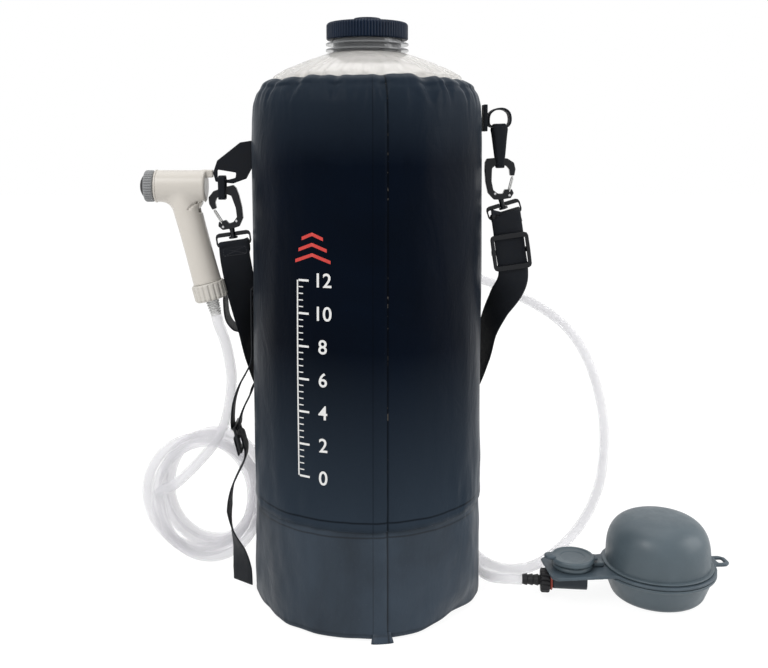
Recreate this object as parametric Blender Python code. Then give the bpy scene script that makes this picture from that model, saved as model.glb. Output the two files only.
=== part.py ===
"""Camp shower bag with its hooks and straps, foot pump, hand shower and two hoses."""

import math

import bmesh
import bpy
from mathutils import Matrix, Vector

# Fits and drawing steps
GAP = 0.0003
OVERRUN = 0.0015
BAG_SIDES = 48
ROUND_SIDES = 24
SMALL_SIDES = 14
FINE_STEPS = 12
SHARP_DEGREES = 32
PLANAR_DEGREES = 0.2
CORNER_STEP_SHARE = 0.3

# Bag
BAG_RADIUS = 0.095
SKIN = 0.0008
BASE_RADIUS = 0.0882
BASE_THICKNESS = 0.0012
SLEEVE_BOTTOM = 0.0855
SHOULDER_BOTTOM = 0.385
SHOULDER_HEIGHT = 0.065
SHOULDER_SHARES = [(1.0, 0.0), (0.998, 0.154), (0.988, 0.346), (0.965, 0.46), (0.93, 0.572), (0.85, 0.685),
                   (0.70, 0.792), (0.53, 0.90), (0.37, 0.977), (0.315, 1.0)]
SLEEVE_SHOULDER_POINTS = 6
HEM_HEIGHT = 0.0022
BAND_OUTLINE = [(0.0885, 0.0006), (0.0915, 0.0030), (0.0930, 0.0080), (0.0935, 0.0850), (0.0939, 0.0940)]
BLADDER_LOW_OUTLINE = [(0.0872, 0.0026), (0.0903, 0.0046), (0.0918, 0.0095), (0.0923, 0.0850),
                       (0.0926, 0.0948), (0.0939, 0.1035)]
BLADDER_BASE_RADIUS = 0.0878
BLADDER_BASE_LEVEL = 0.0015

# Neck and cap: each level stands on the one below it
NECK_OUTER = 0.0280
NECK_WALL = 0.0030
NECK_INNER = NECK_OUTER - NECK_WALL
NECK_SINK = 0.0050
NECK_BASE = SHOULDER_BOTTOM + SHOULDER_HEIGHT - NECK_SINK
WELD_FLANGE_REACH = 0.0080
WELD_FLANGE_EDGE = 0.0014
WELD_FLANGE_RISE = 0.0034
BEAD_REACH = 0.0060
BEAD_THICKNESS = 0.0012
BEAD_CLEARANCE = 0.0030
BEAD_SPACING = 0.0048
LOWER_BEAD = NECK_BASE + WELD_FLANGE_RISE + BEAD_CLEARANCE
UPPER_BEAD = LOWER_BEAD + BEAD_SPACING
CAP_CLEARANCE = 0.0029
THREADED_HEIGHT = 0.0094
THREAD_CLEARANCE = 0.0005
SEAL_THICKNESS = 0.0015
SEAL_SETBACK = 0.0002
CAP_PLATE = 0.0022
CAP_WALL = 0.0049
CAP_BOTTOM = UPPER_BEAD + BEAD_THICKNESS + CAP_CLEARANCE
NECK_TOP = CAP_BOTTOM + THREADED_HEIGHT
SEAL_BOTTOM = NECK_TOP + GAP
SEAL_TOP = SEAL_BOTTOM + SEAL_THICKNESS
CAP_PLATE_BOTTOM = SEAL_TOP + GAP
CAP_TOP = CAP_PLATE_BOTTOM + CAP_PLATE
CAP_INNER = NECK_OUTER + THREAD_CLEARANCE
CAP_RADIUS = CAP_INNER + CAP_WALL
SEAL_OUTER = CAP_INNER - GAP
SEAL_INNER = NECK_INNER + SEAL_SETBACK
CAP_EDGE = 0.0012
CAP_BOSS_RADIUS = 0.0115
CAP_BOSS_HEIGHT = 0.0062
CAP_SIDES = 96
CAP_RIB_DEPTH = 0.0006

# Wall fittings: reach is the distance out from the bag's axis
FITTING_SHANK = 0.0060
FITTING_HOLE = 0.0063
FITTING_BORE = 0.0025
FITTING_FLANGE = 0.0100
FITTING_FLANGE_THICKNESS = 0.0018
WASHER_OUTER = 0.0095
WASHER_THICKNESS = 0.0012
LOCK_NUT_RADIUS = 0.0105
LOCK_NUT_THICKNESS = 0.0038
BARB_RADIUS = 0.0041
BARB_CREST = 0.0045
INLET_DEGREES = 48.75
INLET_LEVEL = 0.250
FLANGE_SETBACK = 0.0033
SHANK_END = 0.0026
BARB_LENGTH = 0.0087
INLET_WALL_REACH = BAG_RADIUS * math.cos(math.pi / BAG_SIDES)
INLET_FLANGE_REACH = INLET_WALL_REACH - FLANGE_SETBACK
INLET_SHANK_REACH = INLET_WALL_REACH + WASHER_THICKNESS + LOCK_NUT_THICKNESS + GAP * 2 + SHANK_END
INLET_TIP_REACH = INLET_SHANK_REACH + BARB_LENGTH
OUTLET_DEGREES = 101.25
OUTLET_LEVEL = 0.045
OUTLET_WALL_REACH = 0.09306
OUTLET_FLANGE_SETBACK = 0.00316
OUTLET_SHANK_END = 0.00224
OUTLET_FLANGE_REACH = OUTLET_WALL_REACH - OUTLET_FLANGE_SETBACK
OUTLET_SHANK_REACH = OUTLET_WALL_REACH + WASHER_THICKNESS + LOCK_NUT_THICKNESS + GAP * 2 + OUTLET_SHANK_END
ELBOW_PATH = [(-0.01975, 0.09926, 0.045), (-0.0208, 0.1045, 0.045), (-0.0220, 0.1080, 0.045),
              (-0.0245, 0.1095, 0.045), (-0.0290, 0.1095, 0.045), (-0.0360, 0.1095, 0.045),
              (-0.0447, 0.1095, 0.045)]
ELBOW_RADII = [0.0076, 0.0072, 0.0066, 0.0062, 0.0056, 0.0042, 0.0040]

# Webbing
WEBBING = 0.0014
STRAP_WIDTH = 0.025
NARROW_WEBBING = 0.016

# Right anchor ring and hanger loop, as (x, z) centre lines at y = 0
RIGHT_RING = [(0.0998, 0.3960), (0.1003, 0.3915), (0.1035, 0.3898), (0.1090, 0.3897), (0.1145, 0.3898),
              (0.1172, 0.3925), (0.1178, 0.3970), (0.1165, 0.4015), (0.1130, 0.4042), (0.1085, 0.4046),
              (0.1040, 0.4033), (0.1008, 0.4003)]
PATCH_INNER = 0.0954
PATCH_OUTER = 0.0987
PATCH_BOTTOM = 0.3860
PATCH_TOP = 0.4080
RIGHT_HANGER_TOP = (0.1090, 0.0, 0.3916)
RIGHT_HANGER_FOOT = (0.1100, 0.0, 0.3565)
HANGER_TOP_SPREAD = 0.0095
HANGER_FOOT_SPREAD = 0.0055
RIGHT_HANGER_WIDTHS = (0.0090, 0.0120, 0.0064)

# Snap hook, drawn about its swivel centre with the neck at the bottom
HOOK_OUTLINE = [(-0.0151, 0.0355), (-0.0135, 0.0386), (-0.0065, 0.0392), (0.0035, 0.0388), (0.0090, 0.0352),
                (0.0103, 0.0300), (0.0093, 0.0245), (0.0058, 0.0245), (0.0052, 0.0295), (0.0025, 0.0327),
                (-0.0065, 0.0327), (-0.0092, 0.0305), (-0.0095, 0.0200), (-0.0080, 0.0125),
                (-0.0040, 0.0095),
                (0.0000, 0.0095), (0.0015, 0.0130), (0.0075, 0.0132), (0.0090, 0.0100), (0.0065, 0.0058),
                (-0.0020, 0.0045), (-0.0075, 0.0045), (-0.0125, 0.0100), (-0.0145, 0.0190),
                (-0.0153, 0.0290)]
HOOK_THICKNESS = 0.0060
STEM_RADIUS = 0.0022
STEM_HOLE = 0.0026
STEM_HEAD = 0.0038
STEM_HEAD_TOP = -0.0018
STEM_HEAD_BOTTOM = -0.0036
STEM_TOP = 0.0085
GATE_WIRE = 0.0007
GATE_SPREAD = 0.0041
GATE_FOOT = (0.0050, 0.0112)
GATE_TOP = (0.0078, 0.0234)
GATE_TOP_CORNER = 0.0012
LOOP_HALF_WIDTH = 0.0145
LOOP_TOP = 0.0020
LOOP_BOTTOM = -0.0100
LOOP_WINDOW_HALF = 0.0133
LOOP_WINDOW_TOP = -0.0015
LOOP_WINDOW_BOTTOM = -0.0070
LOOP_CORNER = 0.0030
LOOP_WINDOW_CORNER = 0.0010
LOOP_THICKNESS = 0.0030
RIGHT_SWIVEL = (0.1125, 0.0, 0.3250)
RIGHT_LEAN_DEGREES = 17.0
RIGHT_HOOK_LEAN_DEGREES = 0.0
LEFT_SWIVEL = (-0.1118, 0.0, 0.3010)
LEFT_LEAN_DEGREES = 8.0
LEFT_HOOK_LEAN_DEGREES = 18.0

# Slider on the strap, drawn about its own centre
SLIDER_CENTRE = (0.1193, -0.0025, 0.2864)
SLIDER_LEAN_DEGREES = 8.0
SLIDER_HALF_WIDTH = 0.0152
SLIDER_HALF_HEIGHT = 0.0144
SLIDER_WINDOW_HALF_WIDTH = 0.0129
SLIDER_WINDOW_HALF_HEIGHT = 0.0110
SLIDER_CORNER = 0.0030
SLIDER_WINDOW_CORNER = 0.0010
SLIDER_FRONT = -0.0036
SLIDER_BAR_HALF = 0.0020
SLIDER_BAR_THICKNESS = 0.0022

# Left anchor tab as (x, z) outlines, and its hanger loop
LEFT_TAB = [(-0.0953, 0.3785), (-0.1050, 0.3770), (-0.1240, 0.3620), (-0.1275, 0.3520), (-0.1255, 0.3445),
            (-0.1110, 0.3430), (-0.1000, 0.3470), (-0.0953, 0.3560)]
LEFT_TAB_WINDOW = [(-0.1238, 0.3545), (-0.1085, 0.3520), (-0.1090, 0.3478), (-0.1150, 0.3462),
                   (-0.1238, 0.3474)]
LEFT_TAB_THICKNESS = 0.0028
LEFT_HANGER_TOP = (-0.1200, 0.0, 0.3489)
LEFT_HANGER_FOOT = (-0.1200, 0.0, 0.3305)
LEFT_HANGER_SPREAD = 0.0056
LEFT_HANGER_WIDTHS = (0.0054, 0.0060, 0.0056)

# Shoulder strap: centre points with the way its width runs
STRAP_WRAP = [(0.0026, -0.0085), (0.0026, -0.0070), (0.0023, -0.0062), (0.0016, -0.0059),
              (-0.0016, -0.0059), (-0.0023, -0.0062), (-0.0026, -0.0070), (-0.0026, -0.0085)]
STRAP_FOLD_END = (0.0028, -0.0180)
STRAP_ROUTE = [
    ((0.1175, -0.0025, 0.3000), (0.990, 0.0, 0.139)), ((0.1193, -0.0025, 0.2864), (0.990, 0.0, 0.139)),
    ((0.1217, -0.0025, 0.2690), (0.990, 0.0, 0.139)), ((0.1196, -0.0002, 0.2570), (0.95, -0.30, 0.09)),
    ((0.1110, 0.0095, 0.2395), (0.66, -0.75, 0.0)), ((0.1040, 0.0210, 0.2180), (0.48, -0.877, 0.0)),
    ((0.1000, 0.0330, 0.1900), (0.36, -0.93, -0.10)), ((0.0900, 0.0500, 0.1600), (0.36, -0.75, -0.55)),
    ((0.0720, 0.0735, 0.1280), (0.30, -0.45, -0.84)), ((0.0450, 0.0930, 0.1040), (0.15, -0.15, -0.97)),
    ((0.0160, 0.1025, 0.0930), (0.05, 0.0, -1.0)), ((-0.0160, 0.1025, 0.0930), (-0.05, 0.0, -1.0)),
    ((-0.0450, 0.0930, 0.1040), (-0.15, -0.15, -0.97)), ((-0.0720, 0.0735, 0.1280), (-0.30, -0.45, -0.84)),
    ((-0.0900, 0.0500, 0.1600), (-0.36, -0.75, -0.55)), ((-0.0985, 0.0330, 0.1900), (-0.42, -0.90, -0.10)),
    ((-0.1020, 0.0215, 0.2200), (-0.62, -0.78, 0.0)), ((-0.1060, 0.0105, 0.2500), (-0.88, -0.47, 0.0)),
    ((-0.1085, 0.0025, 0.2700), (-0.97, -0.20, -0.10)), ((-0.1100, -0.0018, 0.2830), (-0.99, 0.0, -0.14)),
]
STRAP_TAIL_ROUTE = [
    ((-0.1104, 0.0042, 0.2890), (-0.97, 0.20, -0.12)), ((-0.1150, 0.0110, 0.2825), (-0.85, 0.53, -0.05)),
    ((-0.1180, 0.0180, 0.2740), (-0.45, 0.89, 0.0)), ((-0.1215, 0.0255, 0.2600), (-0.12, 0.99, 0.0)),
    ((-0.1225, 0.0270, 0.2430), (0.0, 1.0, 0.0)), ((-0.1205, 0.0250, 0.2270), (0.0, 1.0, 0.0)),
    ((-0.1145, 0.0240, 0.2185), (0.0, 1.0, 0.0)), ((-0.1080, 0.0235, 0.2165), (0.0, 1.0, 0.0)),
]

# Lower left side: anchor webbing, ladder lock and side strap, as (x, z) centre lines
LOWER_ANCHOR_ROUTE = [(-0.0960, 0.2560), (-0.0960, 0.2250), (-0.0962, 0.1980), (-0.1010, 0.1860),
                      (-0.1075, 0.1740), (-0.1120, 0.1600), (-0.1134, 0.1480), (-0.1135, 0.1404),
                      (-0.1126, 0.1383), (-0.1105, 0.1374), (-0.1084, 0.1383), (-0.1075, 0.1404),
                      (-0.1068, 0.1470), (-0.1035, 0.1560), (-0.0985, 0.1660), (-0.0964, 0.1730)]
LOWER_ANCHOR_WIDTH = 0.020
BUCKLE_PIVOT = (-0.1105, 0.0, 0.1404)
BUCKLE_LEAN_DEGREES = 14.0
BUCKLE_HALF_WIDTH = 0.0145
BUCKLE_TOP = 0.0012
BUCKLE_BOTTOM = -0.0215
BUCKLE_WINDOW_HALF = 0.0118
BUCKLE_UPPER_WINDOW = (-0.0012, -0.0088)
BUCKLE_LOWER_WINDOW = (-0.0112, -0.0188)
BUCKLE_THICKNESS = 0.0024
SIDE_STRAP_ROUTE = [
    ((-0.1076, 0.0, 0.1164), (0.0, 1.0, 0.0)), ((-0.1094, 0.0, 0.1235), (0.0, 1.0, 0.0)),
    ((-0.1110, 0.0, 0.1300), (0.0, 1.0, 0.0)), ((-0.1107, 0.0, 0.1322), (0.0, 1.0, 0.0)),
    ((-0.1088, 0.0, 0.1336), (0.0, 1.0, 0.0)), ((-0.1066, 0.0, 0.1333), (0.0, 1.0, 0.0)),
    ((-0.1052, 0.0, 0.1314), (0.0, 1.0, 0.0)), ((-0.1037, 0.0, 0.1256), (0.0, 1.0, 0.0)),
    ((-0.1023, 0.0, 0.1198), (0.0, 1.0, 0.0)), ((-0.1035, 0.0, 0.1110), (0.0, 1.0, 0.0)),
    ((-0.1095, 0.0, 0.0985), (0.0, 1.0, 0.0)), ((-0.1150, 0.0, 0.0850), (0.0, 1.0, 0.0)),
    ((-0.1170, 0.0, 0.0680), (0.05, 1.0, 0.0)), ((-0.1145, -0.0020, 0.0500), (-0.25, 0.96, 0.0)),
    ((-0.1085, -0.0060, 0.0340), (-0.62, 0.78, 0.0)), ((-0.1055, -0.0090, 0.0200), (-0.80, 0.60, 0.0)),
    ((-0.1050, -0.0090, 0.0080), (-0.80, 0.60, 0.0)),
]
SIDE_STRAP_WIDTH = 0.022

# Hand shower: barrel along X, handle down to its parting line
BARREL_LEVEL = 0.341
BARREL_FRONT = -0.1750
BARREL_REAR = -0.1330
BARREL_RADIUS = 0.0131
BARREL_EDGE = 0.0020
HANDLE_TOP = (-0.1540, 0.0, 0.3410)
HANDLE_FOOT = (-0.1334, 0.0, 0.2610)
HANDLE_TOP_RADIUS = 0.0120
HANDLE_FOOT_RADIUS = 0.0116
SPIGOT_RADIUS = 0.0088
SPIGOT_LENGTH = 0.0070
LEVER_POCKET = [(-0.1345, 0.3190), (-0.1345, 0.3290), (-0.1478, 0.3290), (-0.1478, 0.3190)]
LEVER_POCKET_WIDTH = 0.0110
LEVER_OUTLINE = [(-0.1365, 0.3262), (-0.1365, 0.3287), (-0.1448, 0.3287), (-0.1448, 0.3205),
                 (-0.1420, 0.3200), (-0.1385, 0.3228)]
LEVER_WIDTH = 0.0090
LEVER_PIVOT = (-0.1440, 0.0, 0.3280)
LUG_OUTLINE = [(-0.1350, 0.3470), (-0.1279, 0.3490), (-0.1279, 0.3540), (-0.1350, 0.3530)]
LUG_THICKNESS = 0.0040
NOZZLE_RADIUS = 0.0131
NOZZLE_KNURL_DEPTH = 0.0010
NOZZLE_SIDES = 40
NOZZLE_LENGTH = 0.0092
NOZZLE_BORE = 0.0048
NOZZLE_EDGE = 0.0012
TIP_RADIUS = 0.0038
TIP_SHANK_RADIUS = 0.0044
TIP_REACH = 0.0026
TIP_DEPTH = 0.0060
COLLAR_RADIUS = 0.0137
COLLAR_LENGTH = 0.0150
COLLAR_BORE = 0.0092
COLLAR_LIP_BORE = 0.0056
COLLAR_LIP = 0.0030
COLLAR_RIB_DEPTH = 0.0008
COLLAR_SIDES = 24
GUN_WASHER_THICKNESS = 0.0012
GUN_WASHER_BORE = 0.0030
TAIL_FLANGE = 0.0086
TAIL_FLANGE_THICKNESS = 0.0020
TAIL_SHANK = 0.0052
TAIL_REACH = 0.0284

# Foot pump, drawn about its own centre with the tongue along +X
PUMP_CENTRE = (0.2423, -0.0195, 0.0)
PUMP_DEGREES = 184.5
BOWL_OUTLINE = [(0.0, 0.0), (0.0350, 0.0), (0.0375, 0.0020), (0.0445, 0.0212), (0.0472, 0.0218),
                (0.0472, 0.0235), (0.0430, 0.0235), (0.0420, 0.0215), (0.0352, 0.0035), (0.0, 0.0020)]
PLATE_BOTTOM = 0.0238
PLATE_THICKNESS = 0.0025
PLATE_RADIUS = 0.0475
PLATE_OPENING = 0.0360
PLATE_SIDES = 28
TONGUE_REACH = 0.0950
TONGUE_HALF_WIDTH = 0.0215
TONGUE_CORNER = 0.0040
EAR_REACH = 0.0605
EAR_HALF_WIDTH = 0.0085
EAR_HOLE = [(-0.0570, -0.0045), (-0.0510, -0.0045), (-0.0510, 0.0045), (-0.0570, 0.0045)]
DOME_RADIUS = 0.0440
DOME_WALL = 0.0016
DOME_FOOT = 0.0290
DOME_TOP = 0.0710
DOME_SQUARENESS = 3.2
DOME_STEPS = 7
DOME_FLANGE_RADIUS = 0.0465
DOME_FLANGE_BOTTOM = 0.0266
DOME_FLANGE_TOP = 0.0284
VALVE_REACH = 0.0730
SEAT_OUTLINE = [(0.0022, 0.0266), (0.0022, 0.0238), (0.0080, 0.0238), (0.0080, 0.0266), (0.0160, 0.0266),
                (0.0160, 0.0292), (0.0145, 0.0308), (0.0118, 0.0308), (0.0112, 0.0280), (0.0040, 0.0280),
                (0.0022, 0.0275)]
SEAT_PLATE_HOLE = 0.0083
FLAP_RADIUS = 0.0098
FLAP_BOTTOM = 0.0283
FLAP_THICKNESS = 0.0010
VALVE_CAP_OUTLINE = [(0.0, 0.0322), (0.0110, 0.0322), (0.0112, 0.0312), (0.0168, 0.0312), (0.0178, 0.0325),
                     (0.0178, 0.0358), (0.0168, 0.0366), (0.0130, 0.0366), (0.0100, 0.0346), (0.0, 0.0340)]
CAP_TAB = [(0.0165, -0.0030), (0.0228, -0.0030), (0.0236, 0.0), (0.0228, 0.0030), (0.0165, 0.0030)]
CAP_TAB_BOTTOM = 0.0322
CAP_TAB_THICKNESS = 0.0016
CAP_HINGE_REACH = -0.0190
CAP_HINGE_LEVEL = 0.0330
DUCT_OUTLINE = [(0.0470, -0.0042), (0.0564, -0.0042), (0.0564, 0.0042), (0.0470, 0.0042)]
DUCT_THICKNESS = 0.0034
CHANNEL_RADIUS = 0.0062
CHANNEL_LENGTH = 0.0280
CHANNEL_SIDES = 10
BARB_TIP = (0.1285, -0.0204, 0.0135)
BARB_HEADING = (0.9925, -0.1219, 0.0)
PUMP_BARB_BORE = 0.0018
PUMP_BARB_NECK = 0.0038
PUMP_BARB_CREST = 0.0046
PUMP_BARB_RIDGES = 3
PUMP_BARB_PITCH = 0.0046
PUMP_BARB_STEP = 0.0004
PUMP_NUT_START = 0.0150
PUMP_NUT_END = 0.0228
PUMP_BARB_LENGTH = 0.0250
PUMP_NUT_RADIUS = 0.0097
PUMP_NUT_BORE = 0.0041
O_RING_RADIUS = 0.0066
O_RING_WIRE = 0.0010
O_RING_SIDES = 8

# Hoses
HOSE_RADIUS = 0.0045
HOSE_SPACING = 0.0165
HOSE_BEVEL_STEPS = 2
COIL_BEVEL_STEPS = 1
FLOOR_LEVEL = 0.0046
WATER_UPPER_ROUTE = [(-0.1190, 0.0040, 0.2070), (-0.1158, 0.0120, 0.1780), (-0.1191, 0.0200, 0.1531),
                     (-0.1262, 0.0290, 0.1284), (-0.1400, 0.0355, 0.1062), (-0.1570, 0.0400, 0.0870),
                     (-0.1715, 0.0430, 0.0730)]
COIL_START_DEGREES = 180.0
COIL_END_DEGREES = 1740.0
COIL_POINTS_PER_LOOP = 24
COIL_CENTRE_X = -0.1410
COIL_SHIFT_X = -0.0135
COIL_HALF_WIDTH = 0.0440
COIL_EXTRA_WIDTH = 0.0035
COIL_HALF_HEIGHT = 0.0520
COIL_SHIFT_TURN = 1.9
COIL_SHIFT_SPAN = 1.6
COIL_START_Y = 0.0455
COIL_PITCH = 0.0103
WATER_LOWER_ROUTE = [(-0.0930, 0.0970, 0.0270), (-0.0730, 0.1050, 0.0390)]
WATER_LOWER_END = (-0.0450, 0.1095, 0.0450)
AIR_ROUTE = [(0.0960, 0.1035, 0.2500), (0.1160, 0.1120, 0.2440), (0.1340, 0.1115, 0.2350),
             (0.1560, 0.1040, 0.2254), (0.1798, 0.0980, 0.2101), (0.1978, 0.0930, 0.1900),
             (0.2109, 0.0885, 0.1627), (0.2191, 0.0850, 0.1310), (0.2215, 0.0820, 0.0997),
             (0.2178, 0.0790, 0.0620), (0.2060, 0.0755, 0.0320), (0.1890, 0.0680, 0.0125),
             (0.1700, 0.0500, 0.0050), (0.1513, 0.0285, 0.0046), (0.1330, 0.0175, 0.0046),
             (0.1155, 0.0200, 0.0046), (0.1030, 0.0350, 0.0046), (0.0945, 0.0620, 0.0046),
             (0.0905, 0.0950, 0.0046), (0.0895, 0.1300, 0.0046), (0.0780, 0.1640, 0.0046),
             (0.0480, 0.1840, 0.0046), (0.0150, 0.1760, 0.0046), (-0.0030, 0.1460, 0.0046),
             (0.0030, 0.1130, 0.0046), (0.0280, 0.0978, 0.0046), (0.0520, 0.0905, 0.0046),
             (0.0705, 0.0735, 0.0046), (0.0850, 0.0520, 0.0046), (0.0950, 0.0290, 0.0046),
             (0.0985, 0.0125, 0.0060), (0.1015, -0.0035, 0.0090), (0.1100, -0.0150, 0.0120)]

TURN = 2 * math.pi
UP = Vector((0.0, 0.0, 1.0))


# Scene and looks

def clear_scene():
    """Remove every object that the file opens with."""
    for old in list(bpy.data.objects):
        bpy.data.objects.remove(old, do_unlink=True)


def material(name, colour, roughness, metallic=0.0, alpha=1.0):
    """Make a plain Principled material."""
    look = bpy.data.materials.new(name)
    look.use_nodes = True
    shader = look.node_tree.nodes["Principled BSDF"]
    shader.inputs["Base Color"].default_value = (*colour, 1.0)
    shader.inputs["Roughness"].default_value = roughness
    shader.inputs["Metallic"].default_value = metallic
    shader.inputs["Alpha"].default_value = alpha
    return look


# Solids

def mesh_object(name, vertices, faces, look):
    """Make one closed body from points and faces, facing out."""
    mesh = bpy.data.meshes.new(name)
    mesh.from_pydata([tuple(point) for point in vertices], [], faces)
    shell = bmesh.new()
    shell.from_mesh(mesh)
    bmesh.ops.connect_verts_nonplanar(shell, angle_limit=math.radians(PLANAR_DEGREES), faces=shell.faces)
    bmesh.ops.recalc_face_normals(shell, faces=shell.faces)
    shell.to_mesh(mesh)
    shell.free()
    mesh.polygons.foreach_set("use_smooth", [True] * len(mesh.polygons))
    mesh.set_sharp_from_angle(angle=math.radians(SHARP_DEGREES))
    obj = bpy.data.objects.new(name, mesh)
    obj.data.materials.append(look)
    bpy.context.scene.collection.objects.link(obj)
    return obj


def turned(name, outline, look, sides=ROUND_SIDES, ribbed=(), rib_depth=0.0):
    """Turn a (radius, height) outline about Z: a closed ring, or a run from pole to pole."""
    vertices, rings = [], []
    for place, (radius, height) in enumerate(outline):
        if radius == 0.0:
            rings.append([len(vertices)])
            vertices.append((0.0, 0.0, height))
            continue
        ring = []
        for side in range(sides):
            angle = TURN * side / sides
            reach = radius - rib_depth if place in ribbed and side % 2 else radius
            ring.append(len(vertices))
            vertices.append((reach * math.cos(angle), reach * math.sin(angle), height))
        rings.append(ring)
    poled = len(rings[0]) == 1 and len(rings[-1]) == 1
    following = rings[1:] if poled else rings[1:] + rings[:1]
    faces = []
    for low, high in zip(rings, following):
        for side in range(sides):
            other = (side + 1) % sides
            if len(low) == 1:
                faces.append((low[0], high[side], high[other]))
            elif len(high) == 1:
                faces.append((low[side], low[other], high[0]))
            else:
                faces.append((low[side], low[other], high[other], high[side]))
    return mesh_object(name, vertices, faces, look)


def ring_outline(inner, outer, bottom, top):
    """Give the outline of a plain ring."""
    return [(inner, bottom), (outer, bottom), (outer, top), (inner, top)]


def prism(name, outline, look, depth, holes=()):
    """Raise a flat outline with holes into a plate that lies on Z = 0."""
    shell = bmesh.new()
    edges, loops = [], []
    for loop in [outline] + list(holes):
        ring = [shell.verts.new((point[0], point[1], 0.0)) for point in loop]
        edges += [shell.edges.new(pair) for pair in zip(ring, ring[1:] + ring[:1])]
        loops.append(ring)
    shell.verts.index_update()
    bmesh.ops.triangle_fill(shell, use_beauty=True, edges=edges)
    flat = [vertex.co.copy() for vertex in shell.verts]
    rims = [[vertex.index for vertex in ring] for ring in loops]
    triangles = [[vertex.index for vertex in face.verts] for face in shell.faces]
    shell.free()
    count = len(flat)
    vertices = flat + [point + UP * depth for point in flat]
    faces = triangles + [[index + count for index in reversed(triangle)] for triangle in triangles]
    for rim in rims:
        faces += [(a, b, b + count, a + count) for a, b in zip(rim, rim[1:] + rim[:1])]
    return mesh_object(name, vertices, faces, look)


def skinned(name, rings, look, closed=False):
    """Join rings of equal count into one body, capped unless the run is closed."""
    sides = len(rings[0])
    vertices = [point for ring in rings for point in ring]
    faces = []
    spans = len(rings) if closed else len(rings) - 1
    for span in range(spans):
        low = span * sides
        high = ((span + 1) % len(rings)) * sides
        for side in range(sides):
            other = (side + 1) % sides
            faces.append((low + side, low + other, high + other, high + side))
    if not closed:
        last = (len(rings) - 1) * sides
        faces.append(tuple(range(sides)))
        faces.append(tuple(range(last, last + sides)))
    return mesh_object(name, vertices, faces, look)


def headings_along(path, closed=False):
    """Give the heading of a path at each of its points."""
    count = len(path)
    headings = []
    for place in range(count):
        before = path[place - 1] if closed or place else path[place]
        after = path[(place + 1) % count] if closed or place < count - 1 else path[place]
        headings.append((after - before).normalized())
    return headings


def tube(name, path, radii, look, sides=SMALL_SIDES, closed=False):
    """Sweep a round section of changing radius along a path."""
    headings = headings_along(path, closed)
    side = headings[0].orthogonal().normalized()
    rings = []
    for point, heading, radius in zip(path, headings, radii):
        side = (side - heading * side.dot(heading)).normalized()
        other = heading.cross(side)
        rings.append([point + (side * math.cos(TURN * step / sides) + other * math.sin(TURN * step / sides))
                      * radius for step in range(sides)])
    return skinned(name, rings, look, closed)


def ribbon(name, path, ways, widths, look, closed=False, thickness=WEBBING):
    """Lay webbing along a path, its width running the given ways."""
    rings = []
    for point, heading, way, width in zip(path, headings_along(path, closed), ways, widths):
        across = (way - heading * way.dot(heading)).normalized() * (width / 2)
        out = heading.cross(across).normalized() * (thickness / 2)
        rings.append([point - across - out, point + across - out,
                      point + across + out, point - across + out])
    return skinned(name, rings, look, closed)


def offset_outline(points, distance):
    """Shift an open (radius, height) outline to its right-hand side by a distance."""
    shifted = []
    for place, (radius, height) in enumerate(points):
        normals = []
        for first, second in ((place - 1, place), (place, place + 1)):
            if first < 0 or second >= len(points):
                continue
            run = Vector((points[second][0] - points[first][0], points[second][1] - points[first][1]))
            normals.append(Vector((run.y, -run.x)).normalized())
        mean = sum(normals, Vector((0.0, 0.0))).normalized()
        reach = distance / mean.dot(normals[0])
        shifted.append((radius + mean.x * reach, height + mean.y * reach))
    return shifted


def shell_outline(points, thickness):
    """Close an upward outer outline into the section of a skin that lies inside it."""
    return points + list(reversed(offset_outline(points, -thickness)))


# Placing

def placed(obj, matrix):
    """Move a body's points by a matrix."""
    obj.data.transform(matrix)
    if matrix.determinant() < 0:
        obj.data.flip_normals()
    obj.data.update()
    return obj


def pivoted(obj, point):
    """Put a body's origin on its joint without moving its points."""
    obj.data.transform(Matrix.Translation(-Vector(point)))
    obj.location = Vector(point)
    return obj


def upright(centre=(0.0, 0.0, 0.0), lean_degrees=0.0, mirrored=False):
    """Stand a flat drawing up so that its X, Y become X, Z and its depth runs to the back."""
    stand = Matrix(((1, 0, 0, 0), (0, 0, 1, 0), (0, 1, 0, 0), (0, 0, 0, 1)))
    mirror = Matrix.Scale(-1, 4, (1.0, 0.0, 0.0)) if mirrored else Matrix.Identity(4)
    lean = Matrix.Rotation(math.radians(-lean_degrees), 4, "Y")
    return Matrix.Translation(Vector(centre)) @ lean @ mirror @ stand


def aimed(origin, heading):
    """Turn the Z axis of a drawing to a heading at an origin."""
    turn = Vector(heading).normalized().to_track_quat("Z", "Y").to_matrix().to_4x4()
    return Matrix.Translation(Vector(origin)) @ turn


def cut(target, tool):
    """Take a hidden tool's volume out of a body."""
    step = target.modifiers.new("cut", "BOOLEAN")
    step.operation = "DIFFERENCE"
    step.solver = "EXACT"
    step.object = tool
    tool.hide_render = True
    tool.display_type = "WIRE"


def fused(target, tool):
    """Join a hidden tool's volume to a body."""
    cut(target, tool)
    target.modifiers[-1].operation = "UNION"


def rounded_box(half_width, bottom, top, corner):
    """Outline a box that is centred on X, its corners cut back in two steps."""
    near = corner * CORNER_STEP_SHARE
    upper = [(half_width, top - corner), (half_width - near, top - near), (half_width - corner, top)]
    lower = [(half_width - corner, bottom), (half_width - near, bottom + near),
             (half_width, bottom + corner)]
    right = lower + upper
    return right + [(-x, y) for x, y in reversed(right)]


# Routes

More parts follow.
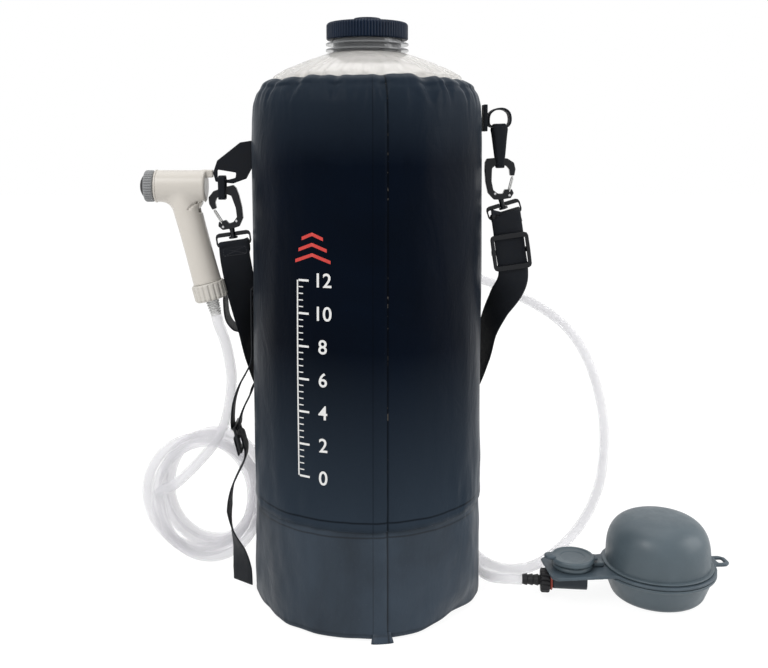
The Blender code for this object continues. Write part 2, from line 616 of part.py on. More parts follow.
def smooth_route(route, spacing, heading_in=None, heading_out=None):
    """Draw a smooth curve through route points and read it off at even spacing."""
    points = [Vector(point) for point in route]
    first = (points[1] - points[0]).length
    last = (points[-1] - points[-2]).length
    lead = points[1] - Vector(heading_in) * (2 * first) if heading_in else 2 * points[0] - points[1]
    tail = points[-2] + Vector(heading_out) * (2 * last) if heading_out else 2 * points[-1] - points[-2]
    chain = [lead] + points + [tail]
    dense = []
    for a, b, c, d in zip(chain, chain[1:], chain[2:], chain[3:]):
        for step in range(FINE_STEPS):
            t = step / FINE_STEPS
            dense.append((b * 2 + (c - a) * t + (a * 2 - b * 5 + c * 4 - d) * t ** 2
                          + (b * 3 - a - c * 3 + d) * t ** 3) / 2)
    dense.append(points[-1])
    return even_points(dense, spacing)


def even_points(dense, spacing):
    """Read a dense line off at equal steps close to the spacing, ends kept."""
    lengths = [0.0]
    for before, after in zip(dense, dense[1:]):
        lengths.append(lengths[-1] + (after - before).length)
    count = max(2, math.ceil(lengths[-1] / spacing))
    result, place = [], 0
    for number in range(count):
        goal = lengths[-1] * number / count
        while lengths[place + 1] < goal:
            place += 1
        share = (goal - lengths[place]) / (lengths[place + 1] - lengths[place])
        result.append(dense[place].lerp(dense[place + 1], share))
    return result + [dense[-1]]


def hose_route(start, heading_in, route, end, heading_out):
    """Run a hose between two ends, straight for one diameter at each."""
    straight = HOSE_RADIUS * 2
    heading_in = Vector(heading_in).normalized()
    heading_out = Vector(heading_out).normalized()
    start, end = Vector(start), Vector(end)
    middle = [start + heading_in * straight] + list(route) + [end - heading_out * straight]
    return [start] + smooth_route(middle, HOSE_SPACING, heading_in, heading_out) + [end]


def hose(name, points, look, bevel_steps=HOSE_BEVEL_STEPS):
    """Make a round hose of one unbroken tube along its points."""
    data = bpy.data.curves.new(name, "CURVE")
    data.dimensions = "3D"
    data.bevel_depth = HOSE_RADIUS
    data.bevel_resolution = bevel_steps
    data.use_fill_caps = True
    spline = data.splines.new("POLY")
    spline.points.add(len(points) - 1)
    for knot, point in zip(spline.points, points):
        knot.co = (*point, 1.0)
    obj = bpy.data.objects.new(name, data)
    data.materials.append(look)
    bpy.context.scene.collection.objects.link(obj)
    return obj


def coil_point(degrees):
    """Give the centre of the coiled hose at an angle counted from the first loop."""
    turns = (degrees - COIL_START_DEGREES) / 360
    angle = math.radians(degrees)
    near = max(0.0, 1.0 - abs(turns - COIL_SHIFT_TURN) / COIL_SHIFT_SPAN)
    weight = near * near * (3 - 2 * near)
    half_width = COIL_HALF_WIDTH + COIL_EXTRA_WIDTH * weight
    x = COIL_CENTRE_X + COIL_SHIFT_X * weight + half_width * math.cos(angle)
    z = FLOOR_LEVEL + COIL_HALF_HEIGHT * (1 + math.sin(angle))
    return Vector((x, COIL_START_Y + COIL_PITCH * turns, z))


def coil_path():
    """Give the coil's points and print its least gap to itself."""
    steps = round((COIL_END_DEGREES - COIL_START_DEGREES) * COIL_POINTS_PER_LOOP / 360)
    span = COIL_END_DEGREES - COIL_START_DEGREES
    points = [coil_point(COIL_START_DEGREES + span * step / steps) for step in range(steps + 1)]
    half_loop = COIL_POINTS_PER_LOOP // 2
    fine = [a.lerp(b, part / 6) for a, b in zip(points, points[1:]) for part in range(6)]
    gaps = [(a - b).length for place, a in enumerate(fine) for b in fine[place + half_loop * 6:]]
    print("coil: least gap to itself %.2f mm" % ((min(gaps) - 2 * HOSE_RADIUS) * 1000))
    return points


# Looks

def make_looks():
    """Make the materials that the pieces share."""
    return {
        "coated": material("coated_fabric", (0.012, 0.021, 0.034), 0.38),
        "band": material("grey_fabric", (0.075, 0.095, 0.118), 0.45),
        "bladder": material("bladder_film", (0.72, 0.72, 0.70), 0.35),
        "clear": material("clear_film", (0.80, 0.78, 0.74), 0.2, alpha=0.6),
        "neck": material("neck_plastic", (0.22, 0.23, 0.24), 0.35),
        "cap": material("cap_plastic", (0.016, 0.026, 0.038), 0.4),
        "webbing": material("black_webbing", (0.012, 0.013, 0.018), 0.7),
        "buckle": material("black_plastic", (0.014, 0.016, 0.020), 0.42),
        "wire": material("steel_wire", (0.62, 0.62, 0.61), 0.25, 1.0),
        "gun": material("ivory_plastic", (0.62, 0.59, 0.54), 0.35),
        "collar": material("grey_plastic", (0.52, 0.50, 0.47), 0.42),
        "pump": material("pump_plastic", (0.115, 0.145, 0.17), 0.42),
        "plate": material("pump_dark_plastic", (0.065, 0.085, 0.105), 0.45),
        "rubber": material("black_rubber", (0.02, 0.02, 0.022), 0.6),
        "red": material("red_rubber", (0.30, 0.05, 0.03), 0.5),
        "hose": material("clear_hose", (0.84, 0.83, 0.85), 0.15, alpha=0.55),
    }


# Bag

def build_bag(looks):
    """Build the sleeve, the bladder, the neck and the cap."""
    bladder_radius = BAG_RADIUS - SKIN - GAP
    shoulder = [(bladder_radius * radius_share, SHOULDER_BOTTOM + SHOULDER_HEIGHT * height_share)
                for radius_share, height_share in SHOULDER_SHARES]
    turned("bladder_shoulder", shell_outline(shoulder, SKIN), looks["clear"], BAG_SIDES)
    tube_top = SHOULDER_BOTTOM - GAP
    wall = BLADDER_LOW_OUTLINE + [(bladder_radius, tube_top)]
    bladder = turned("bladder_tube", shell_outline(wall, SKIN), looks["bladder"], BAG_SIDES)
    base = [(0.0, BLADDER_BASE_LEVEL), (BLADDER_BASE_RADIUS, BLADDER_BASE_LEVEL),
            (BLADDER_BASE_RADIUS, BLADDER_BASE_LEVEL + SKIN), (0.0, BLADDER_BASE_LEVEL + SKIN)]
    turned("bladder_base", base, looks["bladder"], BAG_SIDES)
    edge = BASE_RADIUS - GAP
    panel = [(0.0, 0.0), (edge, 0.0), (edge, BASE_THICKNESS), (0.0, BASE_THICKNESS)]
    turned("base_panel", panel, looks["coated"], BAG_SIDES)
    band = turned("sleeve_lower_band", shell_outline(BAND_OUTLINE, SKIN), looks["band"], BAG_SIDES)
    outside = offset_outline(shoulder, SKIN + GAP)[1:SLEEVE_SHOULDER_POINTS]
    hem_radius, hem_level = outside[-1]
    outside.append((hem_radius - HEM_HEIGHT, hem_level + HEM_HEIGHT))
    outer = [(BAG_RADIUS, SLEEVE_BOTTOM)] + outside
    sleeve = turned("sleeve_upper", shell_outline(outer, SKIN), looks["coated"], BAG_SIDES)
    for name, degrees, level, shells in (("inlet_cutter", INLET_DEGREES, INLET_LEVEL, (sleeve, bladder)),
                                         ("outlet_cutter", OUTLET_DEGREES, OUTLET_LEVEL, (band, bladder))):
        near = INLET_FLANGE_REACH - OVERRUN - FITTING_FLANGE_THICKNESS
        far = INLET_SHANK_REACH
        tool = turned(name, [(0.0, near), (FITTING_HOLE, near), (FITTING_HOLE, far), (0.0, far)],
                      looks["coated"], ROUND_SIDES)
        placed(tool, fitting_frame(degrees, level))
        for shell in shells:
            cut(shell, tool)
    build_neck(looks)


def build_neck(looks):
    """Build the filler neck, the screw cap and its seal."""
    flange = NECK_OUTER + WELD_FLANGE_REACH
    bead = NECK_OUTER + BEAD_REACH
    outline = [(NECK_INNER, NECK_BASE), (flange, NECK_BASE), (flange, NECK_BASE + WELD_FLANGE_EDGE),
               (NECK_OUTER, NECK_BASE + WELD_FLANGE_RISE)]
    for level in (LOWER_BEAD, UPPER_BEAD):
        outline += [(NECK_OUTER, level), (bead, level), (bead, level + BEAD_THICKNESS),
                    (NECK_OUTER, level + BEAD_THICKNESS)]
    outline += [(NECK_OUTER, NECK_TOP), (NECK_INNER, NECK_TOP)]
    turned("neck_fitting", outline, looks["neck"], BAG_SIDES)
    seal = turned("cap_seal", ring_outline(SEAL_INNER, SEAL_OUTER, SEAL_BOTTOM, SEAL_TOP), looks["rubber"],
                  BAG_SIDES)
    pivoted(seal, (0.0, 0.0, SEAL_BOTTOM))
    lower = CAP_BOTTOM + CAP_EDGE
    upper = CAP_TOP - CAP_EDGE
    outline = [(0.0, CAP_PLATE_BOTTOM), (CAP_INNER, CAP_PLATE_BOTTOM), (CAP_INNER, CAP_BOTTOM),
               (CAP_RADIUS - CAP_RIB_DEPTH, CAP_BOTTOM), (CAP_RADIUS, lower), (CAP_RADIUS, upper),
               (CAP_RADIUS - CAP_EDGE, CAP_TOP), (CAP_BOSS_RADIUS, CAP_TOP),
               (CAP_BOSS_RADIUS - CAP_RIB_DEPTH, CAP_TOP + CAP_BOSS_HEIGHT),
               (0.0, CAP_TOP + CAP_BOSS_HEIGHT)]
    cap = turned("cap", outline, looks["cap"], CAP_SIDES, ribbed=(4, 5), rib_depth=CAP_RIB_DEPTH)
    pivoted(cap, (0.0, 0.0, CAP_BOTTOM))


def fitting_frame(degrees, level):
    """Aim a drawing's Z axis out through the wall at an azimuth and a level."""
    angle = math.radians(degrees)
    return aimed((0.0, 0.0, level), (math.cos(angle), math.sin(angle), 0.0))


def build_fittings(looks):
    """Build the air inlet and the water outlet through the bag's wall."""
    places = (("inlet", INLET_DEGREES, INLET_LEVEL, INLET_WALL_REACH, INLET_FLANGE_REACH, INLET_SHANK_REACH),
              ("outlet", OUTLET_DEGREES, OUTLET_LEVEL, OUTLET_WALL_REACH, OUTLET_FLANGE_REACH,
               OUTLET_SHANK_REACH))
    for name, degrees, level, wall, flange, shank in places:
        frame = fitting_frame(degrees, level)
        back = flange - FITTING_FLANGE_THICKNESS
        outline = [(FITTING_BORE, back), (FITTING_FLANGE, back), (FITTING_FLANGE, flange),
                   (FITTING_SHANK, flange), (FITTING_SHANK, shank)]
        if name == "inlet":
            root = shank + BARB_RADIUS
            outline += [(BARB_RADIUS, shank), (BARB_RADIUS, root), (BARB_CREST, root),
                        (BARB_RADIUS, INLET_TIP_REACH), (FITTING_BORE, INLET_TIP_REACH)]
        else:
            outline.append((FITTING_BORE, shank))
        placed(turned(name + "_fitting", outline, looks["cap"], ROUND_SIDES), frame)
        start = wall + GAP
        washer = ring_outline(FITTING_HOLE, WASHER_OUTER, start, start + WASHER_THICKNESS)
        placed(turned(name + "_washer", washer, looks["rubber"], ROUND_SIDES), frame)
        start += WASHER_THICKNESS + GAP
        hexagon = [(LOCK_NUT_RADIUS * math.cos(TURN * side / 6), LOCK_NUT_RADIUS * math.sin(TURN * side / 6))
                   for side in range(6)]
        hole = [(FITTING_HOLE * math.cos(TURN * side / ROUND_SIDES),
                 FITTING_HOLE * math.sin(TURN * side / ROUND_SIDES)) for side in range(ROUND_SIDES)]
        nut = prism(name + "_lock_nut", hexagon, looks["cap"], LOCK_NUT_THICKNESS, [hole])
        placed(nut, frame @ Matrix.Translation((0.0, 0.0, start)))
    tube("outlet_elbow", [Vector(point) for point in ELBOW_PATH], ELBOW_RADII, looks["cap"])


# Hooks and webbing

def hanger(name, top, foot, top_spread, foot_spread, widths, look):
    """Loop webbing in the plane of Y from a top point down round a foot point."""
    top, foot = Vector(top), Vector(foot)
    down = (foot - top).normalized()
    across = Vector((0.0, 1.0, 0.0)).cross(down)
    top_width, middle_width, foot_width = widths
    shoulder_drop = WEBBING
    half = [(-top_spread + WEBBING, top, 0.0, top_width), (-top_spread, top, shoulder_drop, top_width),
            (-top_spread, top, shoulder_drop + WEBBING * 2, middle_width),
            (-foot_spread, foot, -WEBBING * 3, foot_width), (-foot_spread, foot, -WEBBING, foot_width),
            (-foot_spread + WEBBING, foot, 0.0, foot_width)]
    path, widths_here = [], []
    for spread, origin, drop, width in half + [(-s, o, d, w) for s, o, d, w in reversed(half)]:
        path.append(origin + down * drop + Vector((0.0, spread, 0.0)))
        widths_here.append(width)
    return ribbon(name, path, [across] * len(path), widths_here, look, closed=True)


def snap_hook(side, swivel, hook_lean, loop_lean, mirrored, looks):
    """Build a snap hook with its wire gate and the webbing loop that it swivels on."""
    middle = Matrix.Translation((0.0, -HOOK_THICKNESS / 2, 0.0))
    hook_frame = upright(swivel, hook_lean, mirrored)
    loop_frame = upright(swivel, loop_lean, mirrored=False)
    hook = prism(side + "_hook", HOOK_OUTLINE, looks["buckle"], HOOK_THICKNESS)
    placed(hook, middle @ hook_frame)
    stem_outline = [(0.0, STEM_HEAD_BOTTOM), (STEM_HEAD, STEM_HEAD_BOTTOM), (STEM_HEAD, STEM_HEAD_TOP),
                    (STEM_RADIUS, STEM_HEAD_TOP), (STEM_RADIUS, STEM_TOP), (0.0, STEM_TOP)]
    axis = loop_frame.to_3x3() @ Vector((0.0, 1.0, 0.0))
    stem = placed(turned(side + "_stem_cutter", stem_outline, looks["buckle"], SMALL_SIDES),
                  aimed(swivel, axis))
    fused(hook, stem)
    pivoted(hook, swivel)
    loop = prism(side + "_swivel_loop",
                 rounded_box(LOOP_HALF_WIDTH, LOOP_BOTTOM, LOOP_TOP, LOOP_CORNER), looks["buckle"],
                 LOOP_THICKNESS,
                 [rounded_box(LOOP_WINDOW_HALF, LOOP_WINDOW_BOTTOM, LOOP_WINDOW_TOP,
                              LOOP_WINDOW_CORNER)])
    placed(loop, Matrix.Translation((0.0, -LOOP_THICKNESS / 2, 0.0)) @ loop_frame)
    low, high = LOOP_WINDOW_TOP - OVERRUN, LOOP_TOP + OVERRUN
    bore_outline = [(0.0, low), (STEM_HOLE, low), (STEM_HOLE, high), (0.0, high)]
    bore = turned(side + "_bore_cutter", bore_outline, looks["buckle"], SMALL_SIDES)
    cut(loop, placed(bore, aimed(swivel, axis)))
    wire = []
    for y in (-GATE_SPREAD, GATE_SPREAD):
        legs = [Vector((GATE_FOOT[0], GATE_FOOT[1], y)),
                Vector((GATE_TOP[0], GATE_TOP[1] - GATE_TOP_CORNER, y)),
                Vector((GATE_TOP[0], GATE_TOP[1], y * (1 - GATE_TOP_CORNER / GATE_SPREAD)))]
        wire += legs if y < 0 else reversed(legs)
    gate = tube(side + "_gate", wire, [GATE_WIRE] * len(wire), looks["wire"], sides=8)
    placed(gate, hook_frame)
    foot = hook_frame @ Vector((GATE_FOOT[0], GATE_FOOT[1], 0.0))
    pivoted(gate, foot)
    print(side, "gate pivot", tuple(round(value, 5) for value in foot), "swivel axis",
          tuple(round(value, 4) for value in axis))


def wrap_points(swivel, lean, back_first):
    """Give the strap's points round the lower bar of a swivel loop."""
    frame = upright(swivel, lean)
    way = frame.to_3x3() @ Vector((1.0, 0.0, 0.0))
    points = [(frame @ Vector((0.0, level, depth)), way) for depth, level in STRAP_WRAP]
    return points if back_first else list(reversed(points))


def build_side_gear(looks):
    """Build the anchors, hangers, hooks, slider and straps."""
    ring = [Vector((x, 0.0, z)) for x, z in RIGHT_RING]
    across = Vector((0.0, 1.0, 0.0))
    ribbon("right_anchor_webbing", ring, [across] * len(ring), [NARROW_WEBBING] * len(ring),
           looks["webbing"], closed=True)
    patch = prism("right_anchor_patch", [(PATCH_INNER, PATCH_BOTTOM), (PATCH_OUTER, PATCH_BOTTOM),
                                         (PATCH_OUTER, PATCH_TOP), (PATCH_INNER, PATCH_TOP)],
                  looks["webbing"], NARROW_WEBBING)
    placed(patch, Matrix.Translation((0.0, -NARROW_WEBBING / 2, 0.0)) @ upright())
    hanger("right_hanger_loop", RIGHT_HANGER_TOP, RIGHT_HANGER_FOOT, HANGER_TOP_SPREAD, HANGER_FOOT_SPREAD,
           RIGHT_HANGER_WIDTHS, looks["webbing"])
    snap_hook("right", RIGHT_SWIVEL, RIGHT_HOOK_LEAN_DEGREES, RIGHT_LEAN_DEGREES, False, looks)
    tab = prism("left_anchor_tab", LEFT_TAB, looks["webbing"], LEFT_TAB_THICKNESS, [LEFT_TAB_WINDOW])
    placed(tab, Matrix.Translation((0.0, -LEFT_TAB_THICKNESS / 2, 0.0)) @ upright())
    hanger("left_hanger_loop", LEFT_HANGER_TOP, LEFT_HANGER_FOOT, LEFT_HANGER_SPREAD, LEFT_HANGER_SPREAD,
           LEFT_HANGER_WIDTHS, looks["webbing"])
    snap_hook("left", LEFT_SWIVEL, LEFT_HOOK_LEAN_DEGREES, LEFT_LEAN_DEGREES, True, looks)
    build_slider(looks)
    build_straps(looks)


def build_slider(looks):
    """Build the strap slider: a frame in front of the webbing and a centre bar behind it."""
    frame = upright(SLIDER_CENTRE, SLIDER_LEAN_DEGREES)
    slider = prism("right_slider",
                   rounded_box(SLIDER_HALF_WIDTH, -SLIDER_HALF_HEIGHT, SLIDER_HALF_HEIGHT, SLIDER_CORNER),
                   looks["buckle"], SLIDER_BAR_THICKNESS,
                   [rounded_box(SLIDER_WINDOW_HALF_WIDTH, -SLIDER_WINDOW_HALF_HEIGHT,
                                SLIDER_WINDOW_HALF_HEIGHT, SLIDER_WINDOW_CORNER)])
    front = -WEBBING / 2 - GAP - SLIDER_BAR_THICKNESS
    placed(slider, frame @ Matrix.Translation((0.0, 0.0, front)))
    back = WEBBING / 2 + GAP
    rear = back + SLIDER_BAR_THICKNESS
    post = SLIDER_WINDOW_HALF_WIDTH
    edge = SLIDER_HALF_WIDTH
    root = front + SLIDER_BAR_THICKNESS / 2
    outline = [(-edge, root), (-post, root), (-post, back), (post, back), (post, root), (edge, root),
               (edge, rear), (-edge, rear)]
    bar = prism("slider_bar_cutter", outline, looks["buckle"], SLIDER_BAR_HALF * 2)
    lay = Matrix(((1, 0, 0, 0), (0, 0, 1, -SLIDER_BAR_HALF), (0, 1, 0, 0), (0, 0, 0, 1)))
    placed(bar, frame @ lay)
    fused(slider, bar)
    pivoted(slider, SLIDER_CENTRE)


def build_straps(looks):
    """Build the shoulder strap, the lower anchor, the ladder lock and the side strap."""
    right = wrap_points(RIGHT_SWIVEL, RIGHT_LEAN_DEGREES, back_first=True)
    frame = upright(RIGHT_SWIVEL, RIGHT_LEAN_DEGREES)
    depth, level = STRAP_FOLD_END
    fold = (frame @ Vector((0.0, level, depth)), right[0][1])
    left = [(point, -way) for point, way in wrap_points(LEFT_SWIVEL, LEFT_LEAN_DEGREES, back_first=False)]
    knots = [fold] + right + STRAP_ROUTE + left + STRAP_TAIL_ROUTE
    path = [Vector(point) for point, way in knots]
    ways = [Vector(way) for point, way in knots]
    ribbon("shoulder_strap", path, ways, [STRAP_WIDTH] * len(path), looks["webbing"])
    across = Vector((0.0, 1.0, 0.0))
    path = [Vector((x, 0.0, z)) for x, z in LOWER_ANCHOR_ROUTE]
    ribbon("lower_anchor_webbing", path, [across] * len(path), [LOWER_ANCHOR_WIDTH] * len(path),
           looks["webbing"])
    windows = [rounded_box(BUCKLE_WINDOW_HALF, low, high, GAP)
               for high, low in (BUCKLE_UPPER_WINDOW, BUCKLE_LOWER_WINDOW)]
    outline = [(BUCKLE_HALF_WIDTH, BUCKLE_BOTTOM), (BUCKLE_HALF_WIDTH, BUCKLE_TOP),
               (-BUCKLE_HALF_WIDTH, BUCKLE_TOP), (-BUCKLE_HALF_WIDTH, BUCKLE_BOTTOM)]
    buckle = prism("ladder_lock", outline, looks["buckle"], BUCKLE_THICKNESS, windows)
    lean = Matrix.Rotation(math.radians(-BUCKLE_LEAN_DEGREES), 4, "Y")
    facing = Matrix(((0, 0, 1, -BUCKLE_THICKNESS / 2), (1, 0, 0, 0), (0, 1, 0, 0), (0, 0, 0, 1)))
    placed(buckle, Matrix.Translation(Vector(BUCKLE_PIVOT)) @ lean @ facing)
    pivoted(buckle, BUCKLE_PIVOT)
    path = [Vector(point) for point, way in SIDE_STRAP_ROUTE]
    ways = [Vector(way) for point, way in SIDE_STRAP_ROUTE]
    ribbon("side_strap", path, ways, [SIDE_STRAP_WIDTH] * len(path), looks["webbing"])


# Hand shower

def build_gun(looks):
    """Build the hand shower, with its lever, nozzle, collar nut and hose tail."""
    foot = Vector(HANDLE_FOOT)
    top = Vector(HANDLE_TOP)
    down = (foot - top).normalized()
    barrel_length = BARREL_REAR - BARREL_FRONT
    barrel = [(0.0, 0.0), (BARREL_RADIUS - BARREL_EDGE, 0.0), (BARREL_RADIUS, BARREL_EDGE),
              (BARREL_RADIUS, barrel_length - BARREL_EDGE), (BARREL_RADIUS - BARREL_EDGE, barrel_length),
              (0.0, barrel_length)]
    body = turned("gun_body", barrel, looks["gun"], ROUND_SIDES)
    placed(body, aimed((BARREL_FRONT, 0.0, BARREL_LEVEL), (1.0, 0.0, 0.0)))
    length = (foot - top).length
    handle = [(0.0, 0.0), (HANDLE_TOP_RADIUS, 0.0), (HANDLE_FOOT_RADIUS, length), (SPIGOT_RADIUS, length),
              (SPIGOT_RADIUS, length + SPIGOT_LENGTH), (0.0, length + SPIGOT_LENGTH)]
    grip = placed(turned("handle_cutter", handle, looks["gun"], ROUND_SIDES), aimed(top, down))
    fused(body, grip)
    lug = prism("lug_cutter", LUG_OUTLINE, looks["gun"], LUG_THICKNESS)
    placed(lug, Matrix.Translation((0.0, -LUG_THICKNESS / 2, 0.0)) @ upright())
    fused(body, lug)
    pocket = prism("pocket_cutter", LEVER_POCKET, looks["gun"], LEVER_POCKET_WIDTH)
    placed(pocket, Matrix.Translation((0.0, -LEVER_POCKET_WIDTH / 2, 0.0)) @ upright())
    cut(body, pocket)
    lever = prism("gun_lever", LEVER_OUTLINE, looks["gun"], LEVER_WIDTH)
    placed(lever, Matrix.Translation((0.0, -LEVER_WIDTH / 2, 0.0)) @ upright())
    pivoted(lever, LEVER_PIVOT)
    build_nozzle(looks)
    build_gun_foot(looks, foot, down)


def build_nozzle(looks):
    """Build the knurled nozzle ring and the spray tip that turns with it."""
    start = GAP
    end = start + NOZZLE_LENGTH
    rim = NOZZLE_RADIUS - NOZZLE_EDGE
    outline = [(NOZZLE_BORE, start), (NOZZLE_RADIUS - NOZZLE_KNURL_DEPTH, start),
               (NOZZLE_RADIUS, start + NOZZLE_EDGE), (NOZZLE_RADIUS, end - NOZZLE_EDGE),
               (rim, end), (NOZZLE_BORE, end)]
    frame = aimed((BARREL_FRONT, 0.0, BARREL_LEVEL), (-1.0, 0.0, 0.0))
    ring = turned("nozzle_ring", outline, looks["collar"], NOZZLE_SIDES, ribbed=(2, 3),
                  rib_depth=NOZZLE_KNURL_DEPTH)
    pivoted(placed(ring, frame), (BARREL_FRONT, 0.0, BARREL_LEVEL))
    deep = end - TIP_DEPTH
    outline = [(0.0, deep), (TIP_SHANK_RADIUS, deep), (TIP_SHANK_RADIUS, end), (TIP_RADIUS, end + TIP_REACH),
               (0.0, end + TIP_REACH)]
    tip = placed(turned("nozzle_tip", outline, looks["rubber"], ROUND_SIDES), frame)
    pivoted(tip, (BARREL_FRONT, 0.0, BARREL_LEVEL))


def build_gun_foot(looks, foot, down):
    """Build the collar nut, the washer and the hose tail under the handle."""
    frame = aimed(foot, down)
    lip = COLLAR_LENGTH - COLLAR_LIP
    collar = [(COLLAR_BORE, GAP), (COLLAR_RADIUS, GAP), (COLLAR_RADIUS, COLLAR_LENGTH),
              (COLLAR_LIP_BORE, COLLAR_LENGTH), (COLLAR_LIP_BORE, lip), (COLLAR_BORE, lip)]
    placed(turned("gun_collar_nut", collar, looks["collar"], COLLAR_SIDES, ribbed=(1, 2),
                  rib_depth=COLLAR_RIB_DEPTH), frame)
    level = SPIGOT_LENGTH + GAP
    washer = ring_outline(GUN_WASHER_BORE, TAIL_FLANGE, level, level + GUN_WASHER_THICKNESS)
    placed(turned("gun_washer", washer, looks["rubber"], ROUND_SIDES), frame)
    level += GUN_WASHER_THICKNESS + GAP
    under = level + TAIL_FLANGE_THICKNESS
    tail = [(FITTING_BORE, level), (TAIL_FLANGE, level), (TAIL_FLANGE, under), (TAIL_SHANK, under),
            (TAIL_SHANK, COLLAR_LENGTH + GAP), (TAIL_SHANK, COLLAR_LENGTH + COLLAR_LIP),
            (BARB_CREST, TAIL_REACH - COLLAR_LIP), (BARB_RADIUS, TAIL_REACH), (FITTING_BORE, TAIL_REACH)]
    placed(turned("gun_tail", tail, looks["clear"], SMALL_SIDES), frame)


# Foot pump

def arc_points(radius, start_degrees, end_degrees, steps):
    """Give points on an arc about the drawing's centre."""
    return [(radius * math.cos(math.radians(start_degrees + (end_degrees - start_degrees) * step / steps)),
             radius * math.sin(math.radians(start_degrees + (end_degrees - start_degrees) * step / steps)))
            for step in range(steps + 1)]


def dome_curve(radius, top):
    """Give a quarter of a squared ellipse from the dome's crown to its foot."""
    power = 2 / DOME_SQUARENESS
    points = [(0.0, top)]
    for step in range(1, DOME_STEPS):
        angle = math.pi / 2 * (1 - step / DOME_STEPS)
        rise = (top - DOME_FOOT) * math.sin(angle) ** power
        points.append((radius * math.cos(angle) ** power, DOME_FOOT + rise))
    return points + [(radius, DOME_FOOT)]


def build_channel(looks):
    """Build the air channel: a boss in line with the hose connector, walled up to the plate."""
    heading = Vector(BARB_HEADING).normalized()
    start = PUMP_NUT_END + GAP * 2 + O_RING_WIRE * 2
    top = PLATE_BOTTOM - GAP - BARB_TIP[2]
    outline = arc_points(CHANNEL_RADIUS, 180, 360, CHANNEL_SIDES)
    outline += [(CHANNEL_RADIUS, top), (-CHANNEL_RADIUS, top)]
    channel = prism("pump_channel", outline, looks["plate"], CHANNEL_LENGTH)
    turn = Matrix((UP.cross(heading), UP, heading)).transposed().to_4x4()
    placed(channel, Matrix.Translation(Vector(BARB_TIP) + heading * start) @ turn)


